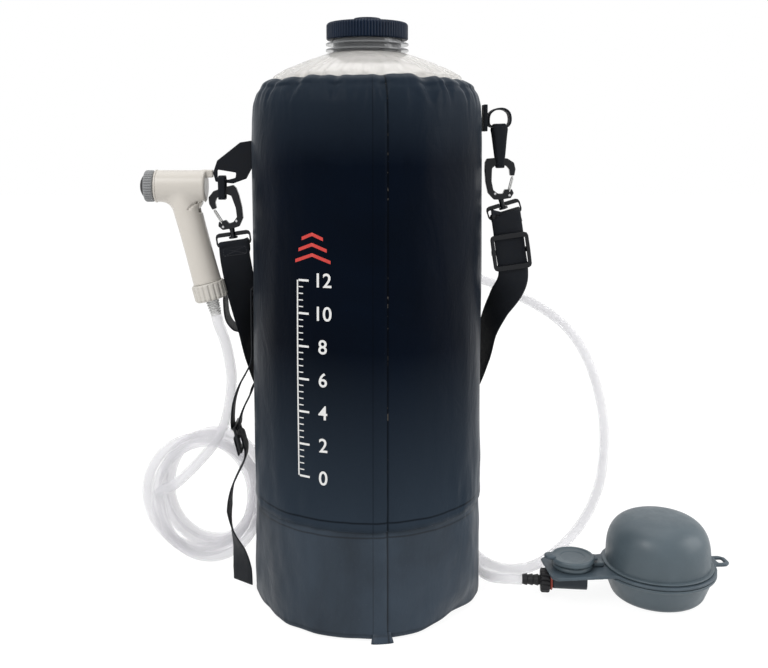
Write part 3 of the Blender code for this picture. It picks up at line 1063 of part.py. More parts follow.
def build_pump(looks):
    """Build the foot pump with its tongue, valve and hose connector."""
    frame = Matrix.Translation(Vector(PUMP_CENTRE)) @ Matrix.Rotation(math.radians(PUMP_DEGREES), 4, "Z")
    placed(turned("pump_bowl", BOWL_OUTLINE, looks["pump"], PLATE_SIDES), frame)
    tongue_degrees = math.degrees(math.asin(TONGUE_HALF_WIDTH / PLATE_RADIUS))
    ear_degrees = math.degrees(math.asin(EAR_HALF_WIDTH / PLATE_RADIUS))
    half = PLATE_SIDES // 2
    outline = [(TONGUE_REACH - TONGUE_CORNER, -TONGUE_HALF_WIDTH),
               (TONGUE_REACH, TONGUE_CORNER - TONGUE_HALF_WIDTH),
               (TONGUE_REACH, TONGUE_HALF_WIDTH - TONGUE_CORNER),
               (TONGUE_REACH - TONGUE_CORNER, TONGUE_HALF_WIDTH)]
    outline += arc_points(PLATE_RADIUS, tongue_degrees, 180 - ear_degrees, half)
    outline += [(-EAR_REACH + TONGUE_CORNER, EAR_HALF_WIDTH), (-EAR_REACH, EAR_HALF_WIDTH - TONGUE_CORNER),
                (-EAR_REACH, TONGUE_CORNER - EAR_HALF_WIDTH), (-EAR_REACH + TONGUE_CORNER, -EAR_HALF_WIDTH)]
    outline += arc_points(PLATE_RADIUS, 180 + ear_degrees, 360 - tongue_degrees, half)
    opening = arc_points(PLATE_OPENING, 0, 360, PLATE_SIDES)[:-1]
    seat_hole = [(VALVE_REACH + x, y) for x, y in arc_points(SEAT_PLATE_HOLE, 0, 360, ROUND_SIDES)[:-1]]
    plate = prism("pump_plate", outline, looks["plate"], PLATE_THICKNESS, [opening, EAR_HOLE, seat_hole])
    placed(plate, frame @ Matrix.Translation((0.0, 0.0, PLATE_BOTTOM)))
    inner = DOME_RADIUS - DOME_WALL
    outline = dome_curve(DOME_RADIUS, DOME_TOP)
    outline += [(DOME_FLANGE_RADIUS, DOME_FLANGE_TOP), (DOME_FLANGE_RADIUS, DOME_FLANGE_BOTTOM),
                (inner, DOME_FLANGE_BOTTOM)]
    outline += reversed(dome_curve(inner, DOME_TOP - DOME_WALL))
    dome = placed(turned("pump_dome", outline, looks["pump"], PLATE_SIDES), frame)
    pivoted(dome, (PUMP_CENTRE[0], PUMP_CENTRE[1], DOME_FLANGE_BOTTOM))
    valve = frame @ Matrix.Translation((VALVE_REACH, 0.0, 0.0))
    placed(turned("pump_valve_seat", SEAT_OUTLINE, looks["pump"], ROUND_SIDES), valve)
    flap = [(0.0, FLAP_BOTTOM), (FLAP_RADIUS, FLAP_BOTTOM), (FLAP_RADIUS, FLAP_BOTTOM + FLAP_THICKNESS),
            (0.0, FLAP_BOTTOM + FLAP_THICKNESS)]
    flap = placed(turned("pump_intake_flap", flap, looks["rubber"], ROUND_SIDES), valve)
    pivoted(flap, valve @ Vector((0.0, 0.0, FLAP_BOTTOM)))
    lid = placed(turned("pump_valve_cap", VALVE_CAP_OUTLINE, looks["pump"], ROUND_SIDES), valve)
    tab = prism("tab_cutter", CAP_TAB, looks["pump"], CAP_TAB_THICKNESS)
    placed(tab, valve @ Matrix.Translation((0.0, 0.0, CAP_TAB_BOTTOM)))
    fused(lid, tab)
    hinge = valve @ Vector((CAP_HINGE_REACH, 0.0, CAP_HINGE_LEVEL))
    pivoted(lid, hinge)
    duct = prism("pump_duct", DUCT_OUTLINE, looks["pump"], DUCT_THICKNESS)
    placed(duct, frame @ Matrix.Translation((0.0, 0.0, PLATE_BOTTOM + PLATE_THICKNESS + GAP)))
    build_channel(looks)
    line = aimed(BARB_TIP, BARB_HEADING)
    outline = [(PUMP_BARB_BORE, 0.0)]
    for ridge in range(PUMP_BARB_RIDGES):
        start = ridge * PUMP_BARB_PITCH
        outline += [(PUMP_BARB_NECK, start), (PUMP_BARB_CREST, start + PUMP_BARB_PITCH - PUMP_BARB_STEP)]
    outline += [(PUMP_BARB_NECK, PUMP_BARB_RIDGES * PUMP_BARB_PITCH), (PUMP_BARB_NECK, PUMP_BARB_LENGTH),
                (PUMP_BARB_BORE, PUMP_BARB_LENGTH)]
    placed(turned("pump_barb", outline, looks["rubber"], SMALL_SIDES), line)
    nut = turned("pump_nut", ring_outline(PUMP_NUT_BORE, PUMP_NUT_RADIUS, PUMP_NUT_START, PUMP_NUT_END),
                 looks["rubber"], ROUND_SIDES)
    placed(nut, line)
    seal_level = PUMP_NUT_END + GAP + O_RING_WIRE
    seal = [(O_RING_RADIUS + x, seal_level + y)
            for x, y in arc_points(O_RING_WIRE, 0, 360, O_RING_SIDES)[:-1]]
    placed(turned("pump_o_ring", seal, looks["red"], ROUND_SIDES), line)
    across = frame.to_3x3() @ Vector((0.0, 1.0, 0.0))
    print("valve cap hinge", tuple(round(value, 5) for value in hinge))
    print("valve cap axis", tuple(round(value, 5) for value in across))
    print("flap pivot", tuple(round(value, 5) for value in flap.location))


# Hoses

def build_hoses(looks):
    """Build the air hose and the water hose with its coil."""
    handle = (Vector(HANDLE_FOOT) - Vector(HANDLE_TOP)).normalized()
    start = Vector(HANDLE_FOOT) + handle * (TAIL_REACH + GAP)
    coil = coil_path()
    entry = coil[0] + (coil[0] - coil[1]).normalized() * GAP
    heading_in = (coil[1] - coil[0]).normalized()
    upper = hose_route(start, handle, WATER_UPPER_ROUTE, entry, heading_in)
    hose("water_hose_upper", upper, looks["hose"])
    hose("water_hose_coil", coil, looks["hose"], COIL_BEVEL_STEPS)
    heading_out = (coil[-1] - coil[-2]).normalized()
    lower_start = coil[-1] + heading_out * GAP
    lower = hose_route(lower_start, heading_out, WATER_LOWER_ROUTE, WATER_LOWER_END, (1.0, 0.0, 0.0))
    hose("water_hose_lower", lower, looks["hose"])
    out = fitting_frame(INLET_DEGREES, INLET_LEVEL)
    outlet = out @ Vector((0.0, 0.0, INLET_TIP_REACH + GAP))
    away = (out.to_3x3() @ UP).normalized()
    tip = Vector(BARB_TIP) - Vector(BARB_HEADING) * GAP
    air = hose_route(outlet, away, AIR_ROUTE, tip, BARB_HEADING)
    hose("air_hose", air, looks["hose"])
    for name, points in (("upper", upper), ("coil", coil), ("lower", lower), ("air", air)):
        length = sum((b - a).length for a, b in zip(points, points[1:]))
        print("hose", name, "points", len(points), "length %.4f m" % length)


def main():
    """Build the whole shower."""
    clear_scene()
    looks = make_looks()
    build_bag(looks)
    build_fittings(looks)
    build_side_gear(looks)
    build_gun(looks)
    build_pump(looks)
    build_hoses(looks)


main()
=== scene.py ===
"""Dresses the camp shower bag: fabric, webbing, moulded pieces, hoses, materials, light and camera."""

import math

import bmesh
import bpy
import numpy as np
from mathutils import Matrix, Vector, noise


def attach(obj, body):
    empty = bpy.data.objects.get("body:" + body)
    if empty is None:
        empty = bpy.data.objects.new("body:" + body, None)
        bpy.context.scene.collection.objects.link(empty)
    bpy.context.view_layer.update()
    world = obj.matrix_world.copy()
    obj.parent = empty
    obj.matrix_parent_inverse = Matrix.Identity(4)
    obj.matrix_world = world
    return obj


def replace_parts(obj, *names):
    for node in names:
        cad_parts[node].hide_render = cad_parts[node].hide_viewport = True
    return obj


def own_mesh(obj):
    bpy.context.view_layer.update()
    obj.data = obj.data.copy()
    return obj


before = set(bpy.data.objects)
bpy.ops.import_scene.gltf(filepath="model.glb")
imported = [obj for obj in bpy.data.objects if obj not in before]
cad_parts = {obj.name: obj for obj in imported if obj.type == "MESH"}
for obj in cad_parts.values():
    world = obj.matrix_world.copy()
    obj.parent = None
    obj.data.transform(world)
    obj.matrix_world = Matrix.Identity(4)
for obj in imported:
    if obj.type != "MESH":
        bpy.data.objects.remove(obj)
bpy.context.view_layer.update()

TURN = 2 * math.pi
UP = Vector((0.0, 0.0, 1.0))
SIDEWAYS = Vector((0.0, 1.0, 0.0))

# Camera: the photograph's frame is 768 by 668
IMAGE_WIDTH = 768
IMAGE_HEIGHT = 668
FOCAL_PIXELS = 953.8
SENSOR_WIDTH = 36.0
CAMERA_PLACE = (0.0, -0.7910, 0.3770)
PITCH_DEGREES = 4.0
AXIS_COLUMN = 367.4
AXIS_ROW = 209.04

# Bag
BAG_RADIUS = 0.095
SHOULDER_BOTTOM = 0.385
SHOULDER_HEIGHT = 0.065
SHOULDER_SHARES = [(1.0, 0.0), (0.998, 0.154), (0.988, 0.346), (0.965, 0.46), (0.93, 0.572), (0.85, 0.685),
                   (0.70, 0.792), (0.53, 0.90), (0.37, 0.977), (0.315, 1.0)]
SLEEVE_BOTTOM = 0.0848
SLEEVE_SKIN = 0.0008
SLEEVE_ROWS = 74
SLEEVE_SIDES = 480
BAND_ROWS = 60
BAND_SIDES = 432
LINING_ROWS = 30
LINING_SIDES = 216
FILM_SIDES = 360
FILM_SKIN = 0.0004
WALL_INSET = 0.0006
HEM = [(0.0842, 0.4252), (0.0799, 0.4270)]
FILM_FOOT = [(0.0855, 0.4180), (0.0828, 0.4222), (0.0785, 0.4264), (0.0762, 0.4304)]
BAND_TOP = 0.0915
SEAM_ANGLE = math.radians(5.8)
SEAM_HALF_ANGLE = math.radians(3.1)
SEAM_EDGE = SEAM_HALF_ANGLE * 1.1

# Webbing
WEBBING = 0.0014
STRAP_WIDTH = 0.025
NARROW_WEBBING = 0.016
WEBBING_STEPS = 5
RING_WEBBING = 0.0016
STITCH_PITCH = 0.0024
STITCH_LENGTH = 0.0016
STITCH_RADIUS = 0.00028
STITCH_CENTRE = (0.0, -0.0140, -0.0022)
STITCH_HALF_WIDTH = 0.0095
STITCH_HALF_HEIGHT = 0.0032
STITCH_LIFT = 0.0001
YARN_PITCH = 0.0011
RIB_PITCH = 0.0016
WEBBING_SECTION = [(-1.0, 0.0), (-0.97, -0.55), (-0.90, -0.95), (-0.5, -1.0), (0.0, -1.0), (0.5, -1.0),
                   (0.90, -0.95), (0.97, -0.55), (1.0, 0.0), (0.97, 0.55), (0.90, 0.95), (0.5, 1.0),
                   (0.0, 1.0), (-0.5, 1.0), (-0.90, 0.95), (-0.97, 0.55)]
RIGHT_RING = [(0.0998, 0.3960), (0.1003, 0.3915), (0.1035, 0.3898), (0.1090, 0.3897), (0.1145, 0.3898),
              (0.1172, 0.3925), (0.1178, 0.3970), (0.1165, 0.4015), (0.1130, 0.4042), (0.1085, 0.4046),
              (0.1040, 0.4033), (0.1008, 0.4003)]
RIGHT_HANGER = ((0.1090, 0.0, 0.3916), (0.1100, 0.0, 0.3565), 0.0095, 0.0055, (0.0090, 0.0120, 0.0064))
LEFT_HANGER = ((-0.1200, 0.0, 0.3489), (-0.1200, 0.0, 0.3305), 0.0056, 0.0056, (0.0054, 0.0060, 0.0056))
RIGHT_SWIVEL = (0.1125, 0.0, 0.3250)
RIGHT_LEAN_DEGREES = 17.0
LEFT_SWIVEL = (-0.1118, 0.0, 0.3010)
LEFT_LEAN_DEGREES = 8.0
STRAP_WRAP = [(0.0026, -0.0085), (0.0026, -0.0070), (0.0023, -0.0062), (0.0016, -0.0059),
              (-0.0016, -0.0059), (-0.0023, -0.0062), (-0.0026, -0.0070), (-0.0026, -0.0085)]
STRAP_FOLD_END = (0.0028, -0.0180)
STRAP_ROUTE = [
    ((0.1175, -0.0025, 0.3000), (0.990, 0.0, 0.139)), ((0.1193, -0.0025, 0.2864), (0.990, 0.0, 0.139)),
    ((0.1217, -0.0025, 0.2690), (0.990, 0.0, 0.139)), ((0.1196, -0.0002, 0.2570), (0.95, -0.30, 0.09)),
    ((0.1110, 0.0095, 0.2395), (0.66, -0.75, 0.0)), ((0.1040, 0.0210, 0.2180), (0.48, -0.877, 0.0)),
    ((0.1000, 0.0330, 0.1900), (0.36, -0.93, -0.10)), ((0.0900, 0.0500, 0.1600), (0.36, -0.75, -0.55)),
    ((0.0720, 0.0735, 0.1280), (0.30, -0.45, -0.84)), ((0.0450, 0.0930, 0.1040), (0.15, -0.15, -0.97)),
    ((0.0160, 0.1025, 0.0930), (0.05, 0.0, -1.0)), ((-0.0160, 0.1025, 0.0930), (-0.05, 0.0, -1.0)),
    ((-0.0450, 0.0930, 0.1040), (-0.15, -0.15, -0.97)), ((-0.0720, 0.0735, 0.1280), (-0.30, -0.45, -0.84)),
    ((-0.0900, 0.0500, 0.1600), (-0.36, -0.75, -0.55)), ((-0.0985, 0.0330, 0.1900), (-0.42, -0.90, -0.10)),
    ((-0.1020, 0.0215, 0.2200), (-0.62, -0.78, 0.0)), ((-0.1060, 0.0105, 0.2500), (-0.88, -0.47, 0.0)),
    ((-0.1085, 0.0025, 0.2700), (-0.97, -0.20, -0.10)), ((-0.1100, -0.0018, 0.2830), (-0.99, 0.0, -0.14)),
]
STRAP_TAIL_ROUTE = [
    ((-0.1104, 0.0042, 0.2890), (-0.97, 0.20, -0.12)), ((-0.1150, 0.0110, 0.2825), (-0.85, 0.53, -0.05)),
    ((-0.1180, 0.0180, 0.2740), (-0.45, 0.89, 0.0)), ((-0.1215, 0.0255, 0.2600), (-0.12, 0.99, 0.0)),
    ((-0.1225, 0.0270, 0.2430), (0.0, 1.0, 0.0)), ((-0.1205, 0.0250, 0.2270), (0.0, 1.0, 0.0)),
    ((-0.1145, 0.0240, 0.2185), (0.0, 1.0, 0.0)), ((-0.1080, 0.0235, 0.2165), (0.0, 1.0, 0.0)),
]
LOWER_ANCHOR_ROUTE = [(-0.0960, 0.2560), (-0.0960, 0.2250), (-0.0962, 0.1980), (-0.1010, 0.1860),
                      (-0.1075, 0.1740), (-0.1120, 0.1600), (-0.1134, 0.1480), (-0.1135, 0.1404),
                      (-0.1126, 0.1383), (-0.1105, 0.1374), (-0.1084, 0.1383), (-0.1075, 0.1404),
                      (-0.1068, 0.1470), (-0.1035, 0.1560), (-0.0985, 0.1660), (-0.0964, 0.1730)]
LOWER_ANCHOR_WIDTH = 0.020
SIDE_STRAP_ROUTE = [(-0.1076, 0.1164), (-0.1094, 0.1235), (-0.1110, 0.1300), (-0.1107, 0.1322),
                    (-0.1088, 0.1336), (-0.1066, 0.1333), (-0.1052, 0.1314), (-0.1037, 0.1256),
                    (-0.1023, 0.1198), (-0.1035, 0.1110), (-0.1095, 0.0985), (-0.1150, 0.0850)]
SIDE_STRAP_FOOT = [
    ((-0.1170, 0.0, 0.0680), (0.05, 1.0, 0.0)), ((-0.1145, -0.0020, 0.0500), (-0.25, 0.96, 0.0)),
    ((-0.1085, -0.0060, 0.0340), (-0.62, 0.78, 0.0)), ((-0.1055, -0.0090, 0.0200), (-0.80, 0.60, 0.0)),
    ((-0.1050, -0.0090, 0.0080), (-0.80, 0.60, 0.0)),
]
SIDE_STRAP_WIDTH = 0.022

# Hand shower
HANDLE_TOP = (-0.1540, 0.0, 0.3410)
HANDLE_FOOT = (-0.1334, 0.0, 0.2610)
HANDLE_HEADING = (Vector(HANDLE_FOOT) - Vector(HANDLE_TOP)).normalized()
TAIL_REACH = 0.0284

# Hoses, as in the CAD model
GAP = 0.0003
HOSE_RADIUS = 0.0045
HOSE_WALL = 0.0013
HOSE_SPACING = 0.0165
HOSE_STEP = 0.0035
HOSE_SIDES = 20
FINE_STEPS = 12
FLOOR_LEVEL = 0.0046
WATER_UPPER_ROUTE = [(-0.1190, 0.0040, 0.2070), (-0.1158, 0.0120, 0.1780), (-0.1191, 0.0200, 0.1531),
                     (-0.1262, 0.0290, 0.1284), (-0.1400, 0.0355, 0.1062), (-0.1570, 0.0400, 0.0870),
                     (-0.1715, 0.0430, 0.0730)]
COIL_START_DEGREES = 180.0
COIL_END_DEGREES = 1740.0
COIL_POINTS_PER_LOOP = 24
COIL_CENTRE_X = -0.1410
COIL_SHIFT_X = -0.0135
COIL_HALF_WIDTH = 0.0440
COIL_EXTRA_WIDTH = 0.0035
COIL_HALF_HEIGHT = 0.0520
COIL_SHIFT_TURN = 1.9
COIL_SHIFT_SPAN = 1.6
COIL_START_Y = 0.0455
COIL_PITCH = 0.0103
WATER_LOWER_ROUTE = [(-0.0930, 0.0970, 0.0270), (-0.0730, 0.1050, 0.0390)]
WATER_LOWER_END = (-0.0450, 0.1095, 0.0450)
INLET_DEGREES = 48.75
INLET_LEVEL = 0.250
INLET_TIP_REACH = 0.1117
BARB_TIP = (0.1285, -0.0204, 0.0135)
BARB_HEADING = (0.9925, -0.1219, 0.0)
AIR_ROUTE = [(0.0960, 0.1035, 0.2500), (0.1160, 0.1120, 0.2440), (0.1340, 0.1115, 0.2350),
             (0.1560, 0.1040, 0.2254), (0.1798, 0.0980, 0.2101), (0.1978, 0.0930, 0.1900),
             (0.2109, 0.0885, 0.1627), (0.2191, 0.0850, 0.1310), (0.2215, 0.0820, 0.0997),
             (0.2178, 0.0790, 0.0620), (0.2060, 0.0755, 0.0320), (0.1890, 0.0680, 0.0125),
             (0.1700, 0.0500, 0.0050), (0.1513, 0.0285, 0.0046), (0.1330, 0.0175, 0.0046),
             (0.1155, 0.0200, 0.0046), (0.1030, 0.0350, 0.0046), (0.0945, 0.0620, 0.0046),
             (0.0905, 0.0950, 0.0046), (0.0895, 0.1300, 0.0046), (0.0780, 0.1640, 0.0046),
             (0.0480, 0.1840, 0.0046), (0.0150, 0.1760, 0.0046), (-0.0030, 0.1460, 0.0046),
             (0.0030, 0.1130, 0.0046), (0.0280, 0.0978, 0.0046), (0.0520, 0.0905, 0.0046),
             (0.0705, 0.0735, 0.0046), (0.0850, 0.0520, 0.0046), (0.0950, 0.0290, 0.0046),
             (0.0985, 0.0125, 0.0060), (0.1015, -0.0035, 0.0090), (0.1100, -0.0150, 0.0120)]


# Mesh helpers

WELD = 1e-6
SHARP_DEGREES = 35


def shown(name, mesh, look):
    """Put a mesh in the scene with one look."""
    mesh.materials.clear()
    mesh.materials.append(look)
    obj = bpy.data.objects.new(name, mesh)
    bpy.context.scene.collection.objects.link(obj)
    return obj


def outward(mesh, weld=0.0):
    """Turn a mesh's faces outward, after welding its doubled points if asked."""
    shell = bmesh.new()
    shell.from_mesh(mesh)
    if weld:
        bmesh.ops.remove_doubles(shell, verts=shell.verts, dist=weld)
    bmesh.ops.recalc_face_normals(shell, faces=shell.faces)
    shell.to_mesh(mesh)
    shell.free()


def smooth_faces(mesh):
    """Shade all faces smooth."""
    mesh.polygons.foreach_set("use_smooth", [True] * len(mesh.polygons))


def piece(name, vertices, faces, look, body, uvs=None):
    """Make a mesh piece from points and faces and let it ride on a body."""
    mesh = bpy.data.meshes.new(name)
    mesh.from_pydata([tuple(point) for point in vertices], [], faces)
    if uvs is not None:
        layer = mesh.uv_layers.new(name="lay")
        for loop in mesh.loops:
            layer.data[loop.index].uv = uvs[loop.vertex_index]
    outward(mesh)
    smooth_faces(mesh)
    obj = shown(name, mesh, look)
    if body:
        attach(obj, body)
    return obj


def wrapped_grid(rows, columns, closed=False):
    """Give the faces of a grid that closes on itself across its columns, and along its rows if asked."""
    return [(row * columns + column, row * columns + (column + 1) % columns,
             (row + 1) % rows * columns + (column + 1) % columns, (row + 1) % rows * columns + column)
            for row in range(rows if closed else rows - 1) for column in range(columns)]


def turned(name, outline, look, body, sides=96, shape=None, matrix=None):
    """Turn a (radius, height) outline about Z, with an optional change of radius by angle."""
    vertices = []
    for radius, height in outline:
        for side in range(sides):
            angle = TURN * side / sides
            reach = shape(radius, height, angle) if shape and radius > WELD else radius
            vertices.append(Vector((reach * math.cos(angle), reach * math.sin(angle), height)))
    if matrix is not None:
        vertices = [matrix @ point for point in vertices]
    obj = piece(name, vertices, wrapped_grid(len(outline), sides), look, None)
    outward(obj.data, WELD)
    obj.data.set_sharp_from_angle(angle=math.radians(SHARP_DEGREES))
    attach(obj, body)
    return obj


def turn_all(rows):
    """Turn pieces in place of their CAD solids, and give them by the solids' names."""
    made = {}
    for name, node, outline, look, body, sides, shape, matrix in rows:
        made[node] = turned(name, outline, LOOKS[look], body, sides, shape, matrix)
        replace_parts(made[node], node)
    return made


def rounded(outline, radius, steps=4, closed=False):
    """Round the corners of an outline."""
    points = [Vector(point) for point in outline]
    result = []
    count = len(points)
    for place, point in enumerate(points):
        if not closed and place in (0, count - 1):
            result.append(tuple(point))
            continue
        before, after = points[place - 1], points[(place + 1) % count]
        to_before, to_after = before - point, after - point
        reach = min(radius, to_before.length * 0.45, to_after.length * 0.45)
        start = point + to_before.normalized() * reach
        end = point + to_after.normalized() * reach
        for step in range(steps + 1):
            t = step / steps
            result.append(tuple(start * (1 - t) ** 2 + point * (2 * t * (1 - t)) + end * t ** 2))
    return result


def spline(a, b, c, d, t):
    """Give the point at a share of the way from b to c on a smooth curve through four points."""
    return (b * 2 + (c - a) * t + (a * 2 - b * 5 + c * 4 - d) * t ** 2 + (b * 3 - a - c * 3 + d) * t ** 3) / 2


def smooth_route(route, spacing, heading_in=None, heading_out=None):
    """Draw a smooth curve through route points and read it off at even spacing."""
    points = [Vector(point) for point in route]
    first = (points[1] - points[0]).length
    last = (points[-1] - points[-2]).length
    lead = points[1] - Vector(heading_in) * (2 * first) if heading_in else 2 * points[0] - points[1]
    tail = points[-2] + Vector(heading_out) * (2 * last) if heading_out else 2 * points[-1] - points[-2]
    chain = [lead] + points + [tail]
    dense = [spline(*four, step / FINE_STEPS) for four in zip(chain, chain[1:], chain[2:], chain[3:])
             for step in range(FINE_STEPS)]
    return even_points(dense + [points[-1]], spacing)


def even_points(dense, spacing):
    """Read a dense line off at equal steps close to the spacing, ends kept."""
    lengths = [0.0]
    for before, after in zip(dense, dense[1:]):
        lengths.append(lengths[-1] + (after - before).length)
    count = max(2, math.ceil(lengths[-1] / spacing))
    result, place = [], 0
    for number in range(count):
        goal = lengths[-1] * number / count
        while lengths[place + 1] < goal:
            place += 1
        share = (goal - lengths[place]) / (lengths[place + 1] - lengths[place])
        result.append(dense[place].lerp(dense[place + 1], share))
    return result + [dense[-1]]


def headings_along(path, closed=False):
    """Give the heading of a path at each of its points."""
    count = len(path)
    headings = []
    for place in range(count):
        before = path[place - 1] if closed or place else path[place]
        after = path[(place + 1) % count] if closed or place < count - 1 else path[place]
        headings.append((after - before).normalized())
    return headings


def pipe(name, path, outer, inner, look, body):
    """Sweep a tube with a bore along a path, its wall closed at both ends."""
    headings = headings_along(path)
    side = headings[0].orthogonal().normalized()
    frames = []
    for point, heading in zip(path, headings):
        side = (side - heading * side.dot(heading)).normalized()
        frames.append((point, side.copy(), heading.cross(side)))
    vertices = []
    for radius, order in ((outer, frames), (inner, list(reversed(frames)))):
        for point, across, other in order:
            for step in range(HOSE_SIDES):
                angle = TURN * step / HOSE_SIDES
                vertices.append(point + (across * math.cos(angle) + other * math.sin(angle)) * radius)
    return piece(name, vertices, wrapped_grid(len(path) * 2, HOSE_SIDES, closed=True), look, body)


def softened(node, name, look, body, voxel, passes):
    """Stand in for a CAD solid with a remeshed copy whose edges round off as a moulding's do."""
    obj = shown(name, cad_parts[node].data.copy(), look)
    obj.data.name = name
    remesh = obj.modifiers.new("remesh", "REMESH")
    remesh.mode = "VOXEL"
    remesh.voxel_size = voxel
    remesh.use_smooth_shade = True
    soften = obj.modifiers.new("soften", "SMOOTH")
    soften.factor = 0.5
    soften.iterations = passes
    settled(obj, look, body)
    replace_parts(obj, node)
    return obj


def settled(obj, look, body):
    """Turn an object's modifiers into its mesh, and give it its look and its body."""
    graph = bpy.context.evaluated_depsgraph_get()
    graph.update()
    made = bpy.data.meshes.new_from_object(obj.evaluated_get(graph))
    made.name = obj.name
    obj.modifiers.clear()
    obj.data = made
    smooth_faces(made)
    made.materials.clear()
    made.materials.append(look)
    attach(obj, body)
    return obj


def webbing(name, knots, width, look, body, closed, thickness):
    """Lay woven webbing through (point, way) knots, of one width or of a width at each knot."""
    points = [Vector(point) for point, way in knots]
    ways = [Vector(way).normalized() for point, way in knots]
    count = len(points)
    widths = width if hasattr(width, "__len__") else [width] * count
    path, sides, spans = [], [], []
    for place in range(count if closed else count - 1):
        index = [(place + shift) % count if closed else min(max(place + shift, 0), count - 1)
                 for shift in (-1, 0, 1, 2)]
        for step in range(WEBBING_STEPS):
            t = step / WEBBING_STEPS
            path.append(spline(*(points[number] for number in index), t))
            sides.append(ways[index[1]].lerp(ways[index[2]], t).normalized())
            spans.append(widths[index[1]] * (1 - t) + widths[index[2]] * t)
    if not closed:
        path.append(points[-1])
        sides.append(ways[-1])
        spans.append(widths[-1])
    vertices, uvs, run = [], [], 0.0
    rows = zip(path, headings_along(path, closed), sides, spans)
    for place, (point, heading, way, span) in enumerate(rows):
        run += (point - path[place - 1]).length if place else 0.0
        across = (way - heading * way.dot(heading)).normalized()
        out = heading.cross(across).normalized()
        for share, lift in WEBBING_SECTION:
            vertices.append(point + across * (share * span / 2) + out * (lift * thickness / 2))
            uvs.append((share * span / 2, run))
    columns = len(WEBBING_SECTION)
    faces = wrapped_grid(len(path), columns, closed)
    if not closed:
        faces += [tuple(range(columns)), tuple(range((len(path) - 1) * columns, len(path) * columns))]
    return piece(name, vertices, faces, look, body, uvs)


def upright(centre, lean_degrees):
    """Stand a flat drawing up so that its X, Y become X, Z and its depth runs to the back."""
    stand = Matrix(((1, 0, 0, 0), (0, 0, 1, 0), (0, 1, 0, 0), (0, 0, 0, 1)))
    lean = Matrix.Rotation(math.radians(-lean_degrees), 4, "Y")
    return Matrix.Translation(Vector(centre)) @ lean @ stand


def aimed(origin, heading):
    """Turn the Z axis of a drawing to a heading at an origin."""
    turn = Vector(heading).normalized().to_track_quat("Z", "Y").to_matrix().to_4x4()
    return Matrix.Translation(Vector(origin)) @ turn


# Materials

SHEEN_TINT = (0.80, 0.90, 1.0, 1.0)
# Heights where the sleeve is painted lighter: towards its lower edge, and at the shoulder as a painted sheen.
LIGHTER_BELOW = (0.107, 0.235)
PAINTED_SHEEN_ABOVE = (0.375, 0.445)


class Look:
    """A material under construction: a Principled shader with its colour and surface from nodes."""

    def __init__(self, name, roughness, metallic=0.0):
        self.material = bpy.data.materials.new(name)
        self.material.use_nodes = True
        self.tree = self.material.node_tree
        self.shader = self.tree.nodes["Principled BSDF"]
        self.shader.inputs["Roughness"].default_value = roughness
        self.shader.inputs["Metallic"].default_value = metallic
        self.place = self.tree.nodes.new("ShaderNodeTexCoord")
        self.normal = None

    def node(self, kind, links=(), **settings):
        """Add a node, set its properties and wire its inputs."""
        made = self.tree.nodes.new(kind)
        for key, value in settings.items():
            setattr(made, key, value)
        for socket, source in dict(links).items():
            if hasattr(source, "is_output"):
                self.tree.links.new(source, made.inputs[socket])
            else:
                made.inputs[socket].default_value = source
        return made

    def set(self, **values):
        """Set plain numbers on the shader's own sockets."""
        for key, value in values.items():
            self.shader.inputs[key.replace("_", " ")].default_value = value

    def stretched(self, scale):
        """Give texture coordinates stretched by a scale on each axis."""
        mapping = self.node("ShaderNodeMapping", {"Vector": self.place.outputs["Object"], "Scale": scale})
        return mapping.outputs["Vector"]

    def noise(self, scale, detail=3.0, roughness=0.55, coordinates=None, distortion=0.0):
        """Add a noise texture and give its value."""
        vector = coordinates or self.place.outputs["Object"]
        made = self.node("ShaderNodeTexNoise", {"Vector": vector, "Scale": scale, "Detail": detail,
                                                "Roughness": roughness, "Distortion": distortion})
        return made.outputs["Fac"]

    def ramp(self, value, low, high, from_low=0.35, from_high=0.65):
        """Map a value to a range."""
        return self.node("ShaderNodeMapRange", {"Value": value, "From Min": from_low, "From Max": from_high,
                                                "To Min": low, "To Max": high}).outputs["Result"]

    def math(self, operation, first, second=0.0):
        """Combine two values."""
        return self.node("ShaderNodeMath", {0: first, 1: second}, operation=operation).outputs[0]

    def mix(self, factor, first, second):
        """Mix two colours."""
        made = self.node("ShaderNodeMix", data_type="RGBA")
        for place, source in ((0, factor), (6, first), (7, second)):
            if hasattr(source, "is_output"):
                self.tree.links.new(source, made.inputs[place])
            elif place:
                made.inputs[place].default_value = (*source, 1.0)
            else:
                made.inputs[place].default_value = source
        return made.outputs[2]

    def times(self, first, second):
        """Multiply two values."""
        return self.math("MULTIPLY", first, second)

    def near(self, value, centre, width):
        """Give 1 where a value is at a centre, falling to 0 over a width."""
        return self.ramp(self.math("ABSOLUTE", self.math("SUBTRACT", value, centre)), 1.0, 0.0, 0.0, width)

    def mottled(self, value, colour, first, second=1.0, from_low=0.35, from_high=0.65):
        """Let a colour wander between two of its shades with a value."""
        share = self.ramp(value, 0.0, 1.0, from_low, from_high)
        return self.mix(share, shade(colour, first), shade(colour, second))

    def colour(self, source):
        """Send a colour to the shader."""
        self.tree.links.new(source, self.shader.inputs["Base Color"])

    def roughness(self, source):
        """Send a roughness to the shader."""
        self.tree.links.new(source, self.shader.inputs["Roughness"])

    def bump(self, height, distance):
        """Add a layer of relief."""
        links = {"Height": height, "Distance": distance}
        if self.normal is not None:
            links["Normal"] = self.normal
        self.normal = self.node("ShaderNodeBump", links).outputs["Normal"]
        self.tree.links.new(self.normal, self.shader.inputs["Normal"])


def shade(colour, factor):
    """Make a colour lighter or darker."""
    return tuple(channel * factor for channel in colour)


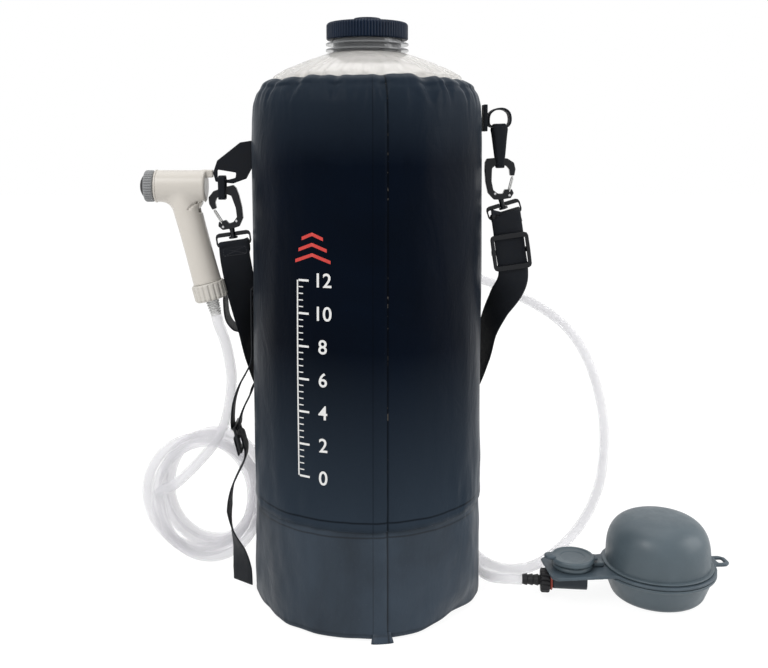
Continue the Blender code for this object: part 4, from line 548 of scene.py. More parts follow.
def plastic(name, colour, roughness, mottle=0.10, grain_scale=900.0, grain_depth=0.00003, coat=0.0,
            gloss=0.5):
    """A moulded plastic: faint mottling, fine grain and worn sheen."""
    look = Look(name, roughness)
    look.colour(look.mottled(look.noise(38.0, 4.0), colour, 1 - mottle, 1 + mottle))
    look.roughness(look.ramp(look.noise(160.0, 5.0, 0.65), roughness * 0.86, roughness * 1.18))
    look.bump(look.noise(grain_scale, 2.0), grain_depth)
    look.bump(look.noise(70.0, 2.0), grain_depth * 3)
    look.set(Coat_Weight=coat, Coat_Roughness=0.2, Specular_IOR_Level=gloss)
    return look.material


def coated_fabric(name, colour, light, roughness, blotch, wrinkle_depth, gloss, painted_sheen_and_low_tint=None,
                  seams=(), painted_glints=None, sheen=0.0):
    """Coated bag fabric: a fine weave under a satin coat, creases, blotches, dust, darkened seam lines, a
    painted sheen at the shoulder, a lighter lower edge and painted glints.
    """
    look = Look(name, roughness)
    place = look.node("ShaderNodeSeparateXYZ", {"Vector": look.place.outputs["Object"]}).outputs
    clouds = look.noise(9.0, 5.0, 0.6, look.stretched((1.0, 1.0, 0.6)), 0.6)
    base = look.mottled(clouds, colour, 1 - blotch, 1 + blotch, 0.38, 0.66)
    # The sleeve is painted lighter at the shoulder, a painted sheen, and lighter towards its lower edge.
    if painted_sheen_and_low_tint:
        drift = look.math("ADD", place["Z"], look.times(clouds, 0.03))
        low, high = look.ramp(drift, 1.0, 0.0, *LIGHTER_BELOW), look.ramp(drift, 0.0, 0.75, *PAINTED_SHEEN_ABOVE)
        base = look.mix(look.math("ADD", low, high), base, painted_sheen_and_low_tint)
    base = look.mix(look.ramp(look.noise(420.0, 6.0, 0.7), 0.0, 0.30, 0.60, 0.80), base, light)
    turn = look.math("ARCTAN2", place["X"], look.times(place["Y"], -1.0))
    # The colour is darkened in narrow lines along the upright seam's edges and the listed seam heights.
    seam_darkening = look.near(turn, SEAM_ANGLE + SEAM_EDGE, 0.011)
    lines = [(turn, SEAM_ANGLE - SEAM_EDGE, 0.007, 0.6)] + [(place["Z"], *seam) for seam in seams]
    for value, centre, width, share in lines:
        seam_darkening = look.math("MAXIMUM", seam_darkening, look.times(look.near(value, centre, width), share))
    base = look.mix(look.times(seam_darkening, 0.8), base, shade(colour, 0.12))
    # Painted glints: pale specks along the upright seam's edge, painted highlights in the colour.
    if painted_glints:
        painted_glint_patches = look.noise(14.0, 1.0, 0.5, look.stretched((0.2, 0.2, 1.0)))
        painted_glint_spots = look.times(look.ramp(look.noise(230.0, 2.0, 0.5), 0.0, 1.0, 0.56, 0.64),
                           look.ramp(painted_glint_patches, 0.0, 1.0, 0.50, 0.60))
        painted_glint_spots = look.times(painted_glint_spots, look.near(turn, SEAM_ANGLE + SEAM_EDGE, 0.006))
        base = look.mix(look.times(painted_glint_spots, 0.8), base, painted_glints)
    look.colour(base)
    smear = look.noise(26.0, 4.0, 0.6, look.stretched((1.0, 1.0, 0.35)))
    look.roughness(look.ramp(smear, roughness * 0.80, roughness * 1.22))
    look.bump(look.noise(34.0, 5.0, 0.55, look.stretched((1.0, 1.0, 0.45)), 1.2), wrinkle_depth)
    look.bump(look.noise(120.0, 3.0, 0.5, look.stretched((1.0, 1.0, 0.5)), 0.8), wrinkle_depth * 0.22)
    weave = look.node("ShaderNodeTexWave", {"Vector": look.place.outputs["Object"], "Scale": 330.0,
                                            "Distortion": 1.0}, bands_direction="Z")
    look.bump(weave.outputs["Fac"], 0.00003)
    look.bump(look.noise(1500.0, 2.0), 0.00003)
    look.set(Specular_IOR_Level=gloss, Sheen_Weight=sheen, Sheen_Roughness=0.35, Sheen_Tint=SHEEN_TINT)
    return look.material


def woven(name, colour, highlight):
    """Nylon webbing: ribs across, yarns along, and a slight sheen."""
    look = Look(name, 0.62)
    lay = look.node("ShaderNodeSeparateXYZ", {"Vector": look.place.outputs["UV"]}).outputs
    yarn = look.math("SINE", look.times(lay["X"], TURN / YARN_PITCH))
    half = look.times(look.math("SIGN", yarn), 0.25)
    ribs = look.math("SINE", look.math("ADD", look.times(lay["Y"], TURN / RIB_PITCH), look.times(half, TURN)))
    height = look.times(look.math("ADD", look.math("ABSOLUTE", yarn), ribs), 0.5)
    look.bump(height, 0.00016)
    look.bump(look.noise(1800.0, 3.0), 0.00005)
    fuzz = look.noise(260.0, 5.0, 0.65)
    tone = look.math("ADD", look.ramp(height, 0.0, 0.6, -0.3, 1.0), look.ramp(fuzz, -0.12, 0.3))
    look.colour(look.mix(tone, colour, highlight))
    look.roughness(look.ramp(fuzz, 0.52, 0.74))
    look.set(Sheen_Weight=0.06, Sheen_Roughness=0.5, Specular_IOR_Level=0.16)
    return look.material


def metal(name, colour, roughness):
    """Drawn steel wire with a few fine scratches."""
    look = Look(name, roughness, 1.0)
    scratches = look.noise(700.0, 4.0, 0.6, look.stretched((1.0, 1.0, 0.08)))
    look.colour(look.mottled(scratches, colour, 0.82))
    look.roughness(look.ramp(scratches, roughness * 0.7, roughness * 1.5))
    look.bump(scratches, 0.00002)
    return look.material


def clear(name, colour, roughness, transmission, ior, depth, scale, alpha=1.0):
    """Clear soft plastic with a faint ripple and haze."""
    look = Look(name, roughness)
    haze = look.noise(scale * 0.5, 4.0, 0.6)
    look.colour(look.mottled(haze, colour, 0.96))
    look.roughness(look.ramp(haze, roughness * 0.7, roughness * 1.4))
    look.bump(look.noise(scale, 3.0), depth)
    look.set(Transmission_Weight=transmission, IOR=ior, Alpha=alpha)
    return look.material


def ink(name, colour):
    """Screen printing that is a little thin and scuffed."""
    look = Look(name, 0.5)
    thin = look.noise(240.0, 6.0, 0.7)
    look.colour(look.mottled(thin, colour, 1.0, 0.62, 0.56, 0.80))
    look.roughness(look.ramp(thin, 0.42, 0.62))
    look.bump(look.noise(900.0, 3.0), 0.00003)
    return look.material


LOOKS = {
    # Sleeve: its lighter colour at the shoulder is a painted sheen, and its pale seam specks are painted
    # glints.
    "sleeve": coated_fabric("navy_coated_fabric", (0.0006, 0.0025, 0.0072), (0.003, 0.007, 0.013), 0.36, 0.25,
                            0.0008, 0.03, (0.0205, 0.0300, 0.0430), [(0.0917, 0.0011, 1.0)],
                            (0.10, 0.09, 0.075), 0.080),
    "band": coated_fabric("grey_coated_fabric", (0.0235, 0.0345, 0.0490), (0.070, 0.083, 0.098), 0.44, 0.30,
                          0.0010, 0.20, None,
                          [(0.0800, 0.0010, 0.9), (0.0852, 0.0012, 1.0), (0.0050, 0.0012, 0.5)]),
    "base": coated_fabric("base_fabric", (0.020, 0.026, 0.033), (0.06, 0.07, 0.08), 0.55, 0.25, 0.0006, 0.25),
    "film": clear("shoulder_film", (0.90, 0.88, 0.85), 0.10, 0.55, 1.35, 0.0006, 90.0, 0.80),
    "bladder": clear("bladder_wall", (0.72, 0.71, 0.69), 0.25, 0.2, 1.4, 0.0003, 60.0),
    "neck": clear("neck_plastic", (0.30, 0.31, 0.32), 0.12, 0.55, 1.45, 0.0001, 120.0),
    "cap": plastic("cap_plastic", (0.0050, 0.0115, 0.0260), 0.36, gloss=0.16),
    "webbing": woven("black_webbing", (0.0018, 0.0028, 0.0050), (0.009, 0.012, 0.018)),
    "buckle": plastic("black_acetal", (0.0030, 0.0040, 0.0062), 0.30, 0.2, 700.0, 0.00004, gloss=0.28),
    "wire": metal("steel_wire", (0.62, 0.62, 0.61), 0.22),
    "gun": plastic("ivory_abs", (0.57, 0.535, 0.485), 0.34, 0.02, 600.0, 0.00002, 0.15),
    "collar": plastic("collar_abs", (0.55, 0.525, 0.48), 0.40, 0.03, 600.0, 0.00003, 0.1),
    "knurl": plastic("nozzle_abs", (0.23, 0.235, 0.24), 0.42, 0.06, 600.0, 0.00003),
    "pump": plastic("pump_pvc", (0.072, 0.096, 0.112), 0.40, 0.06, 500.0, 0.00005, gloss=0.35),
    "plate": plastic("pump_base_pvc", (0.060, 0.082, 0.100), 0.46, 0.08, 500.0, 0.00006, gloss=0.35),
    "channel": plastic("channel_pvc", (0.012, 0.019, 0.027), 0.42, 0.10, 500.0, 0.00005, gloss=0.35),
    "tail": clear("tail_plastic", (0.80, 0.80, 0.79), 0.20, 0.45, 1.45, 0.0001, 120.0),
    "rubber": plastic("black_rubber", (0.008, 0.008, 0.010), 0.50, 0.2, 900.0, 0.00005, gloss=0.3),
    "red": plastic("red_rubber", (0.30, 0.040, 0.022), 0.45, 0.1, 900.0, 0.00004),
    "hose": clear("clear_hose", (0.90, 0.895, 0.915), 0.10, 0.60, 1.12, 0.00003, 40.0, 0.50),
    "white_ink": ink("white_ink", (0.70, 0.70, 0.69)),
    "red_ink": ink("red_ink", (0.52, 0.030, 0.022)),
    "thread": plastic("black_thread", (0.020, 0.021, 0.026), 0.6, 0.2, 900.0, 0.00006),
    "rivet": metal("rivet_steel", (0.55, 0.55, 0.56), 0.3),
}


# Camera and hoses

def make_camera():
    """Set the camera at the photograph's viewing angle."""
    data = bpy.data.cameras.new("camera")
    data.sensor_width = SENSOR_WIDTH
    data.lens = FOCAL_PIXELS * SENSOR_WIDTH / IMAGE_WIDTH
    data.shift_y = (AXIS_ROW - IMAGE_HEIGHT / 2) / IMAGE_WIDTH
    data.clip_start = 0.01
    camera = bpy.data.objects.new("camera", data)
    yaw = math.atan((IMAGE_WIDTH / 2 - AXIS_COLUMN) / FOCAL_PIXELS)
    camera.location = CAMERA_PLACE
    camera.rotation_euler = (math.radians(90 - PITCH_DEGREES), 0.0, -yaw)
    bpy.context.scene.collection.objects.link(camera)
    bpy.context.scene.camera = camera


def hose_route(start, heading_in, route, end, heading_out):
    """Run a hose between two ends, straight for one diameter at each."""
    straight = HOSE_RADIUS * 2
    heading_in = Vector(heading_in).normalized()
    heading_out = Vector(heading_out).normalized()
    start, end = Vector(start), Vector(end)
    middle = [start + heading_in * straight] + list(route) + [end - heading_out * straight]
    return [start] + smooth_route(middle, HOSE_SPACING, heading_in, heading_out) + [end]


def coil_point(degrees):
    """Give the centre of the coiled hose at an angle counted from the first loop."""
    turns = (degrees - COIL_START_DEGREES) / 360
    angle = math.radians(degrees)
    near = max(0.0, 1.0 - abs(turns - COIL_SHIFT_TURN) / COIL_SHIFT_SPAN)
    weight = near * near * (3 - 2 * near)
    half_width = COIL_HALF_WIDTH + COIL_EXTRA_WIDTH * weight
    x = COIL_CENTRE_X + COIL_SHIFT_X * weight + half_width * math.cos(angle)
    z = FLOOR_LEVEL + COIL_HALF_HEIGHT * (1 + math.sin(angle))
    return Vector((x, COIL_START_Y + COIL_PITCH * turns, z))


def lay_hose(name, route, *nodes):
    """Sweep a hose along its route in place of its CAD pieces."""
    path = smooth_route(route, HOSE_STEP)
    hose = pipe(name, path, HOSE_RADIUS, HOSE_RADIUS - HOSE_WALL, LOOKS["hose"], "bag")
    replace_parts(hose, *nodes)


def make_hoses():
    """Lay the water hose from the outlet through its coil to the hand shower, and the air hose."""
    start = Vector(HANDLE_FOOT) + HANDLE_HEADING * (TAIL_REACH + GAP)
    span = COIL_END_DEGREES - COIL_START_DEGREES
    steps = round(span * COIL_POINTS_PER_LOOP / 360)
    coil = [coil_point(COIL_START_DEGREES + span * step / steps) for step in range(steps + 1)]
    heading_in = (coil[1] - coil[0]).normalized()
    upper = hose_route(start, HANDLE_HEADING, WATER_UPPER_ROUTE, coil[0] - heading_in * GAP, heading_in)
    heading_out = (coil[-1] - coil[-2]).normalized()
    lower = hose_route(coil[-1] + heading_out * GAP, heading_out, WATER_LOWER_ROUTE, WATER_LOWER_END,
                       (1.0, 0.0, 0.0))
    whole = upper[:-1] + coil + lower[1:]
    lay_hose("water_hose", whole[::-1], "water_hose_upper", "water_hose_coil", "water_hose_lower")
    angle = math.radians(INLET_DEGREES)
    away = Vector((math.cos(angle), math.sin(angle), 0.0))
    outlet = away * (INLET_TIP_REACH + GAP) + UP * INLET_LEVEL
    tip = Vector(BARB_TIP) - Vector(BARB_HEADING) * GAP
    lay_hose("air_hose_tube", hose_route(outlet, away, AIR_ROUTE, tip, BARB_HEADING), "air_hose")


# Light and floor

WORLD_LIGHT = 0.62
FLOOR_REACH = 6.0
LAMP_AIM = (0.0, 0.0, 0.22)
LAMPS = [("key", (-0.9, -1.1, 1.5), 1.0, 16.0), ("fill", (1.5, -0.30, 0.8), 1.0, 12.0),
         ("top", (0.1, 0.3, 1.7), 1.4, 9.0)]


def seen_rays(tree):
    """Give 1 for rays that reach the eye straight, mirrored or through a clear wall, and 0 for all others."""
    rays = tree.nodes.new("ShaderNodeLightPath").outputs
    value = rays["Is Camera Ray"]
    for kind in ("Is Glossy Ray", "Is Transmission Ray"):
        most = tree.nodes.new("ShaderNodeMath")
        most.operation = "MAXIMUM"
        tree.links.new(value, most.inputs[0])
        tree.links.new(rays[kind], most.inputs[1])
        value = most.outputs[0]
    return value


def make_world():
    """Surround the scene with white that lights it less brightly than it looks."""
    world = bpy.data.worlds.new("studio")
    bpy.context.scene.world = world
    world.use_nodes = True
    tree = world.node_tree
    background = tree.nodes["Background"]
    background.inputs["Color"].default_value = (1.0, 1.0, 1.0, 1.0)
    level = tree.nodes.new("ShaderNodeMapRange")
    level.inputs["To Min"].default_value = WORLD_LIGHT
    level.inputs["To Max"].default_value = 1.0
    tree.links.new(seen_rays(tree), level.inputs["Value"])
    tree.links.new(level.outputs["Result"], background.inputs["Strength"])


def make_floor():
    """Lay the pale floor, which glows a little where it is seen."""
    mesh = bpy.data.meshes.new("floor")
    corners = [(x * FLOOR_REACH, y * FLOOR_REACH, 0.0) for x, y in ((-1, -1), (1, -1), (1, 1), (-1, 1))]
    mesh.from_pydata(corners, [], [(0, 1, 2, 3)])
    paint = bpy.data.materials.new("floor_paint")
    paint.use_nodes = True
    tree = paint.node_tree
    shader = tree.nodes["Principled BSDF"]
    shader.inputs["Base Color"].default_value = (0.90, 0.90, 0.90, 1.0)
    shader.inputs["Roughness"].default_value = 0.9
    shader.inputs["Specular IOR Level"].default_value = 0.0
    glow = tree.nodes.new("ShaderNodeEmission")
    glow.inputs["Strength"].default_value = 1.13
    part = tree.nodes.new("ShaderNodeMath")
    part.operation = "MULTIPLY"
    part.inputs[1].default_value = 0.80
    tree.links.new(seen_rays(tree), part.inputs[0])
    mix = tree.nodes.new("ShaderNodeMixShader")
    for place, source in enumerate((part, shader, glow)):
        tree.links.new(source.outputs[0], mix.inputs[place])
    tree.links.new(mix.outputs[0], tree.nodes["Material Output"].inputs["Surface"])
    shown("floor", mesh, paint)


def make_studio():
    """Make the white surroundings, the pale floor and the soft lamps."""
    make_world()
    make_floor()
    for name, place, size, power in LAMPS:
        data = bpy.data.lights.new(name, "AREA")
        data.shape = "SQUARE"
        data.size = size
        data.energy = power
        lamp = bpy.data.objects.new(name, data)
        lamp.location = place
        lamp.rotation_euler = (Vector(LAMP_AIM) - Vector(place)).to_track_quat("-Z", "Y").to_euler()
        bpy.context.scene.collection.objects.link(lamp)
    bpy.context.scene.view_settings.view_transform = "Standard"


# Bag

def swell(value, start, end):
    """Rise smoothly from 0 to 1 between two values."""
    t = min(1.0, max(0.0, (value - start) / (end - start)))
    return t * t * (3 - 2 * t)


def angle_gap(first, second):
    """Give the signed gap between two angles."""
    return (first - second + math.pi) % TURN - math.pi


def bell(value, centre, width, power=2):
    """Give 1 at a centre, falling to 0 on both sides over a width."""
    return math.exp(-((value - centre) / width) ** power)


def corner(angle, degrees, width_degrees):
    """Give 1 at a place round the bag, falling to 0 on both sides over a width."""
    return bell(angle_gap(angle, math.radians(degrees)), 0.0, math.radians(width_degrees))


def ripple(angle, around, level, shift=(0.0, 0.0)):
    """Give smooth noise round the bag: its fineness round it, its place along it, and a shift to vary it."""
    x, y = math.cos(angle), math.sin(angle)
    return noise.noise(Vector((x * around + shift[0], y * around + shift[1], level)))


def on_wall(angle, reach, height):
    """Give a point from an angle round the bag, counted from its front, a radius and a height."""
    return (reach * math.sin(angle), -reach * math.cos(angle), height)


PLEATS = [(-76, 3.0, 0.5), (-56, 2.6, 0.7), (-39, 3.8, 2.4), (-16, 2.4, 1.3), (7.4, 2.4, 2.0), (31, 4.4, 2.9),
          (44, 2.2, 0.7), (58, 3.2, 1.0), (76, 2.8, 0.6), (98, 3.4, 2.1), (121, 2.6, 1.6), (143, 3.8, 2.3),
          (166, 2.6, 1.7), (187, 3.4, 2.0), (209, 2.6, 1.6), (231, 3.8, 2.3), (254, 3.0, 1.8)]


def pleat_depth(angle, height):
    """Give how far the gathered hem folds in at an angle from the front and a height."""
    depth = 0.0
    for degrees, width, deep in PLEATS:
        gap = math.degrees(angle_gap(angle, math.radians(degrees)))
        spread = width * (0.35 + 0.75 * swell(height, 0.406, 0.427))
        near = bell(gap, 0.0, spread) - 0.30 * bell(abs(gap), 1.9 * spread, spread)
        depth += near * deep * 0.001
    return depth * swell(height, 0.403, 0.4190)


def divided(points, spacing):
    """Divide a line of points evenly, leaving out its last point."""
    line = []
    for a, b in zip(points, points[1:]):
        steps = max(3, round((b - a).length / spacing))
        line += [tuple(a.lerp(b, step / steps)) for step in range(steps)]
    return line


def shoulder_points(radius, shares):
    """Give (radius, height) points of the shoulder's dome."""
    return [Vector((radius * across, SHOULDER_BOTTOM + SHOULDER_HEIGHT * up)) for across, up in shares]


def sleeve_profile():
    """Give the sleeve's outer (radius, height) line from its lower edge to its hem."""
    rise = SHOULDER_BOTTOM - SLEEVE_BOTTOM
    line = [(BAG_RADIUS, SLEEVE_BOTTOM + rise * step / SLEEVE_ROWS) for step in range(SLEEVE_ROWS)]
    shoulder = shoulder_points(BAG_RADIUS - 0.0003, SHOULDER_SHARES[:5])
    shoulder += [Vector(point) for point in HEM]
    return smoothed_line(line + divided(shoulder, 0.0011) + [tuple(shoulder[-1])], 3)


def smoothed_line(line, passes):
    """Ease the corners of a (radius, height) line, ends kept."""
    points = [Vector(point) for point in line]
    for _ in range(passes):
        eased = [(a + b * 2 + c) / 4 for a, b, c in zip(points, points[1:], points[2:])]
        points = [points[0]] + eased + [points[-1]]
    return [tuple(point) for point in points]


def sleeve_relief(angle, height):
    """Give how far the sleeve's wall stands out of its plain form."""
    gap = angle_gap(angle, SEAM_ANGLE)
    swelling = ripple(angle, 1.6, height * 7.0) * 0.0009
    swelling += ripple(angle, 6.5, height * 11.0 + 4.0) * 0.00035
    swelling += ripple(angle, 9.0, height * 46.0, (3.0, 0.0)) * 0.0009 * swell(height, 0.150, 0.088)
    swelling += abs(ripple(angle, 4.0, height * 34.0, (20.0, 0.0))) * 0.0010 * swell(height, 0.150, 0.100)
    seam = bell(gap, 0.0, SEAM_HALF_ANGLE * 0.85, 6) * 0.00055
    groove = bell(gap, SEAM_EDGE, math.radians(0.45)) * 0.0008
    groove *= 1.0 + 0.8 * noise.noise(Vector((gap * 60.0, 7.0, height * 90.0)))
    weld = bell(height, 0.0918, 0.0008) * 0.0012
    weld *= 1.0 + 0.5 * ripple(angle, 14.0, 1.0)
    weld += bell(height, 0.0945, 0.0012) * -0.0004
    drawn = swell(height, 0.4160, 0.4195) * (1 - swell(height, 0.4205, 0.4235)) * 0.0007
    drawn += bell(height, 0.4206, 0.0007) * 0.0011 * max(0.0, 0.5 + 1.3 * ripple(angle, 9.0, 2.0))
    roll = swell(height, 0.4225, 0.4245) * 0.0003
    streak = ripple(angle, 22.0, height * 6.0) * 0.0005 * swell(height, 0.395, 0.426)
    streak += ripple(angle, 5.5, 12.0) * 0.0010 * swell(height, 0.395, 0.420)
    streak += abs(ripple(angle, 13.0, height * 26.0, (2.0, 0.0))) * 0.0012 * swell(height, 0.385, 0.418)
    return swelling + seam - groove - weld - drawn + roll + streak - pleat_depth(angle, height)


def wall_piece(name, node, line, relief, look, sides, skin, lift=None):
    """Loft a bag wall from a (radius, height) line, with relief and lift by angle and height."""
    vertices = []
    for radius, height in line:
        for side in range(sides):
            angle = TURN * side / sides
            reach = radius - WALL_INSET + relief(angle, height)
            vertices.append(on_wall(angle, reach, height + (lift(angle, height) if lift else 0.0)))
    obj = piece(name, vertices, wrapped_grid(len(line), sides), look, None)
    thick = obj.modifiers.new("skin", "SOLIDIFY")
    thick.thickness = skin
    thick.offset = -1.0
    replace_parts(settled(obj, look, "bag"), node)


def band_relief(angle, height):
    """Give how far the lower band's wall stands out: soft dents, a seam and a welded foot."""
    gap = angle_gap(angle, SEAM_ANGLE)
    dents = ripple(angle, 3.2, height * 16.0, (9.0, 0.0)) * 0.0011
    folds = ripple(angle, 10.0, height * 60.0, (0.0, 5.0)) * 0.0005
    middle = swell(height, 0.004, 0.016)
    seam = bell(gap, 0.0, SEAM_HALF_ANGLE * 0.85, 6) * 0.0006
    groove = bell(gap, SEAM_EDGE, math.radians(0.6)) * 0.0013
    foot = bell(height, 0.0052, 0.0016) * 0.0006
    foot *= 1.0 + 0.9 * ripple(angle, 20.0, 2.0)
    bulge = swell(height, 0.0, 0.030) * (1 - swell(height, 0.055, 0.086)) * 0.0008
    line = bell(height, 0.0800, 0.0007) * 0.0009
    line *= 0.8 + 0.8 * ripple(angle, 12.0, 3.0)
    under = swell(height, 0.0805, 0.0845) * 0.0012
    near = corner(angle, 48, 17) + 0.5 * corner(angle, -62, 14)
    crumple = near * (1 - swell(height, 0.0, 0.024)) * 0.0042
    edge = ripple(angle, 5.0, 6.0) * 0.0022 * (1 - swell(height, 0.0, 0.014))
    return (dents + folds) * middle + seam - groove * middle - foot + bulge - line - under - crumple + edge


def foot_lift(angle, height):
    """Give how far the crumpled corner of the foot is raised."""
    return corner(angle, 50, 19) * (1 - swell(height, 0.0, 0.030)) * 0.0034


def hem_lift(angle, height):
    """Give how far the gathered hem rides up or down."""
    wave = ripple(angle, 2.6, 8.0) * 0.0016
    wave += ripple(angle, 8.0, 5.0) * 0.0007
    return (wave - pleat_depth(angle, 0.4290) * 0.45) * swell(height, 0.404, 0.427)


def lining(angle, height):
    """Give how far the bladder's wall follows the cover's dents from inside."""
    upper = min(0.0, sleeve_relief(angle, height)) - 0.0003
    lower = min(0.0, band_relief(angle, height)) - 0.0003
    share = swell(height, SLEEVE_BOTTOM - 0.004, SLEEVE_BOTTOM + 0.004)
    return lower * (1 - share) + upper * share + WALL_INSET


def crinkle(angle, height):
    """Give the film's relief: gathered at the hem and wrinkled towards the neck."""
    near = (1 - swell(height, 0.4300, 0.4475)) * swell(height, 0.4265, 0.4310)
    folded = max(0.0, -sleeve_relief(angle, 0.4268)) * (1 - swell(height, 0.4275, 0.4370))
    gathers = ripple(angle, 19.0, height * 16.0) * 0.0019 * near
    facets = ripple(angle, 8.0, height * 120.0) * 0.0012 * (0.35 * swell(height, 0.4265, 0.431) + near)
    return 0.0002 + gathers + facets - folded


def make_bag():
    """Make the sleeve, the lower band, the base, the bladder, the clear shoulder and their seams."""
    sleeve = sleeve_profile()
    wall_piece("sleeve_fabric", "sleeve_upper", sleeve, sleeve_relief, LOOKS["sleeve"], SLEEVE_SIDES,
               SLEEVE_SKIN, hem_lift)
    foot = rounded([(0.0800, 0.0008), (0.0950, 0.0008), (0.0943, 0.0400)], 0.0050, 9)
    line = foot[:-1] + [(0.0946 - 0.0008 * step / BAND_ROWS, 0.0100 + (BAND_TOP - 0.0100) * step / BAND_ROWS)
                        for step in range(BAND_ROWS + 1)]
    wall_piece("lower_band_fabric", "sleeve_lower_band", line, band_relief, LOOKS["band"], BAND_SIDES,
               SLEEVE_SKIN, foot_lift)
    base = [(0.0, 0.0002), (0.060, 0.0002), (0.0795, 0.0002), (0.0815, 0.0004), (0.0795, 0.0009),
            (0.060, 0.0009), (0.0, 0.0009)]

    def sag(radius, height, angle):
        """Ripple the base a little near its rim."""
        return radius + 0.0003 * ripple(angle, 8.0, radius * 40)

    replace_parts(turned("base_fabric", base, LOOKS["base"], "bag", 128, sag), "base_panel")
    low = rounded([(0.0868, 0.0030), (0.0895, 0.0046), (0.0912, 0.0095)], 0.0020, 4)
    wall = [(0.0912, 0.0095 + (SLEEVE_BOTTOM - 0.0095) * step / LINING_ROWS)
            for step in range(1, LINING_ROWS + 1)]
    wall += [(radius - 0.0019, height) for radius, height in sleeve
             if SLEEVE_BOTTOM + 0.004 < height < 0.4200]
    wall_piece("bladder_wall", "bladder_tube", low[:-1] + wall, lining, LOOKS["bladder"], LINING_SIDES,
               FILM_SKIN)
    floor = [(0.0, 0.0024), (0.060, 0.0024), (0.0845, 0.0024), (0.0845, 0.0029), (0.060, 0.0030),
             (0.0, 0.0030)]
    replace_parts(turned("bladder_floor", floor, LOOKS["bladder"], "bag", 96), "bladder_base")
    wall_piece("shoulder_clear_film", "bladder_shoulder", film_line(), crinkle, LOOKS["film"], FILM_SIDES,
               FILM_SKIN)
    make_seam_tab()


def film_line():
    """Give the shoulder film's (radius, height) line from under the hem to the neck."""
    points = [Vector(point) for point in FILM_FOOT]
    points += shoulder_points(BAG_RADIUS - 0.0009, SHOULDER_SHARES[6:])
    return smoothed_line(divided(points, 0.0012) + [tuple(points[-1])], 4)


def make_seam_tab():
    """Make the welded lug where the upright seam meets the base."""
    vertices, faces = [], []
    rows, columns = 8, 13
    for outer, lift in ((False, 0.0), (True, 0.0010)):
        for row in range(rows):
            level = 0.0004 + 0.0066 * row / (rows - 1)
            line = 0.0945 + 0.0036 * swell(level, 0.0066, 0.0)
            for column in range(columns):
                share = column / (columns - 1) * 2 - 1
                angle = share * math.radians(5.0) * (1 - 0.12 * swell(level, 0.0, 0.006))
                edge = 0.0006 * abs(share) ** 6 + 0.0012 * swell(level, 0.0035, 0.0070)
                reach = line + (lift - edge if outer else -0.0012)
                vertices.append(on_wall(SEAM_ANGLE + math.radians(0.6) + angle, reach, level))
    count = rows * columns
    for row in range(rows - 1):
        for column in range(columns - 1):
            a = row * columns + column
            quad = (a, a + 1, a + columns + 1, a + columns)
            faces += [quad, tuple(index + count for index in reversed(quad))]
    rim = list(range(columns)) + [row * columns + columns - 1 for row in range(1, rows)]
    rim += [(rows - 1) * columns + column for column in reversed(range(columns - 1))]
    rim += [row * columns for row in reversed(range(1, rows - 1))]
    faces += [(a, b, b + count, a + count) for a, b in zip(rim, rim[1:] + rim[:1])]
    piece("base_seam_lug", vertices, faces, LOOKS["band"], "bag")


def printed(name, flat_vertices, faces, look):
    """Lay flat artwork in (across, height) on the bag's front as thin ink."""
    shell = bmesh.new()
    made = [shell.verts.new((across, height, 0.0)) for across, height in flat_vertices]
    for face in faces:
        shell.faces.new([made[index] for index in face])
    for axis, spacing in enumerate(INK_CUTS):
        values = [vertex[axis] for vertex in flat_vertices]
        way = Vector((1 - axis, axis, 0))
        cut_at = min(values) + spacing
        while cut_at < max(values):
            geometry = shell.verts[:] + shell.edges[:] + shell.faces[:]
            bmesh.ops.bisect_plane(shell, geom=geometry, plane_co=way * cut_at, plane_no=way)
            cut_at += spacing
    for vertex in shell.verts:
        angle, height = vertex.co.x / BAG_RADIUS, vertex.co.y
        reach = BAG_RADIUS - WALL_INSET + sleeve_relief(angle, height) + INK_LIFT
        vertex.co = on_wall(angle, reach, height)
    mesh = bpy.data.meshes.new(name)
    bmesh.ops.recalc_face_normals(shell, faces=shell.faces)
    for face in shell.faces:
        face.smooth = True
        middle = face.calc_center_median()
        if face.normal.dot(Vector((middle.x, middle.y, 0.0))) < 0:
            face.normal_flip()
    shell.to_mesh(mesh)
    shell.free()
    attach(shown(name, mesh, look), "bag")


def numeral(text, size):
    """Give the flat mesh of a number, centred on the origin."""
    curve = bpy.data.curves.new("numeral", "FONT")
    curve.body = text
    curve.size = size
    curve.align_x = "CENTER"
    curve.align_y = "CENTER"
    curve.offset = size * 0.012
    obj = bpy.data.objects.new("numeral", curve)
    bpy.context.scene.collection.objects.link(obj)
    bpy.context.view_layer.update()
    mesh = bpy.data.meshes.new_from_object(obj.evaluated_get(bpy.context.evaluated_depsgraph_get()))
    vertices = [(vertex.co.x, vertex.co.y) for vertex in mesh.vertices]
    faces = [tuple(polygon.vertices) for polygon in mesh.polygons]
    bpy.data.objects.remove(obj, do_unlink=True)
    return vertices, faces


INK_CUTS = (0.0015, 0.003)
INK_LIFT = 0.00022
SCALE_LEFT = -0.0560
SCALE_BOTTOM = 0.1240
SCALE_STEP = 0.0250
SCALE_MARKS = 7
LITRES_PER_MARK = 2
NUMBER_SIZE = 0.0150
NUMBER_SHIFT = 0.0215
WEDGE_SHIFT = 0.0130
WEDGE_RISES = (0.0130, 0.0215, 0.0300)
WEDGE_THICKNESS = 0.0026


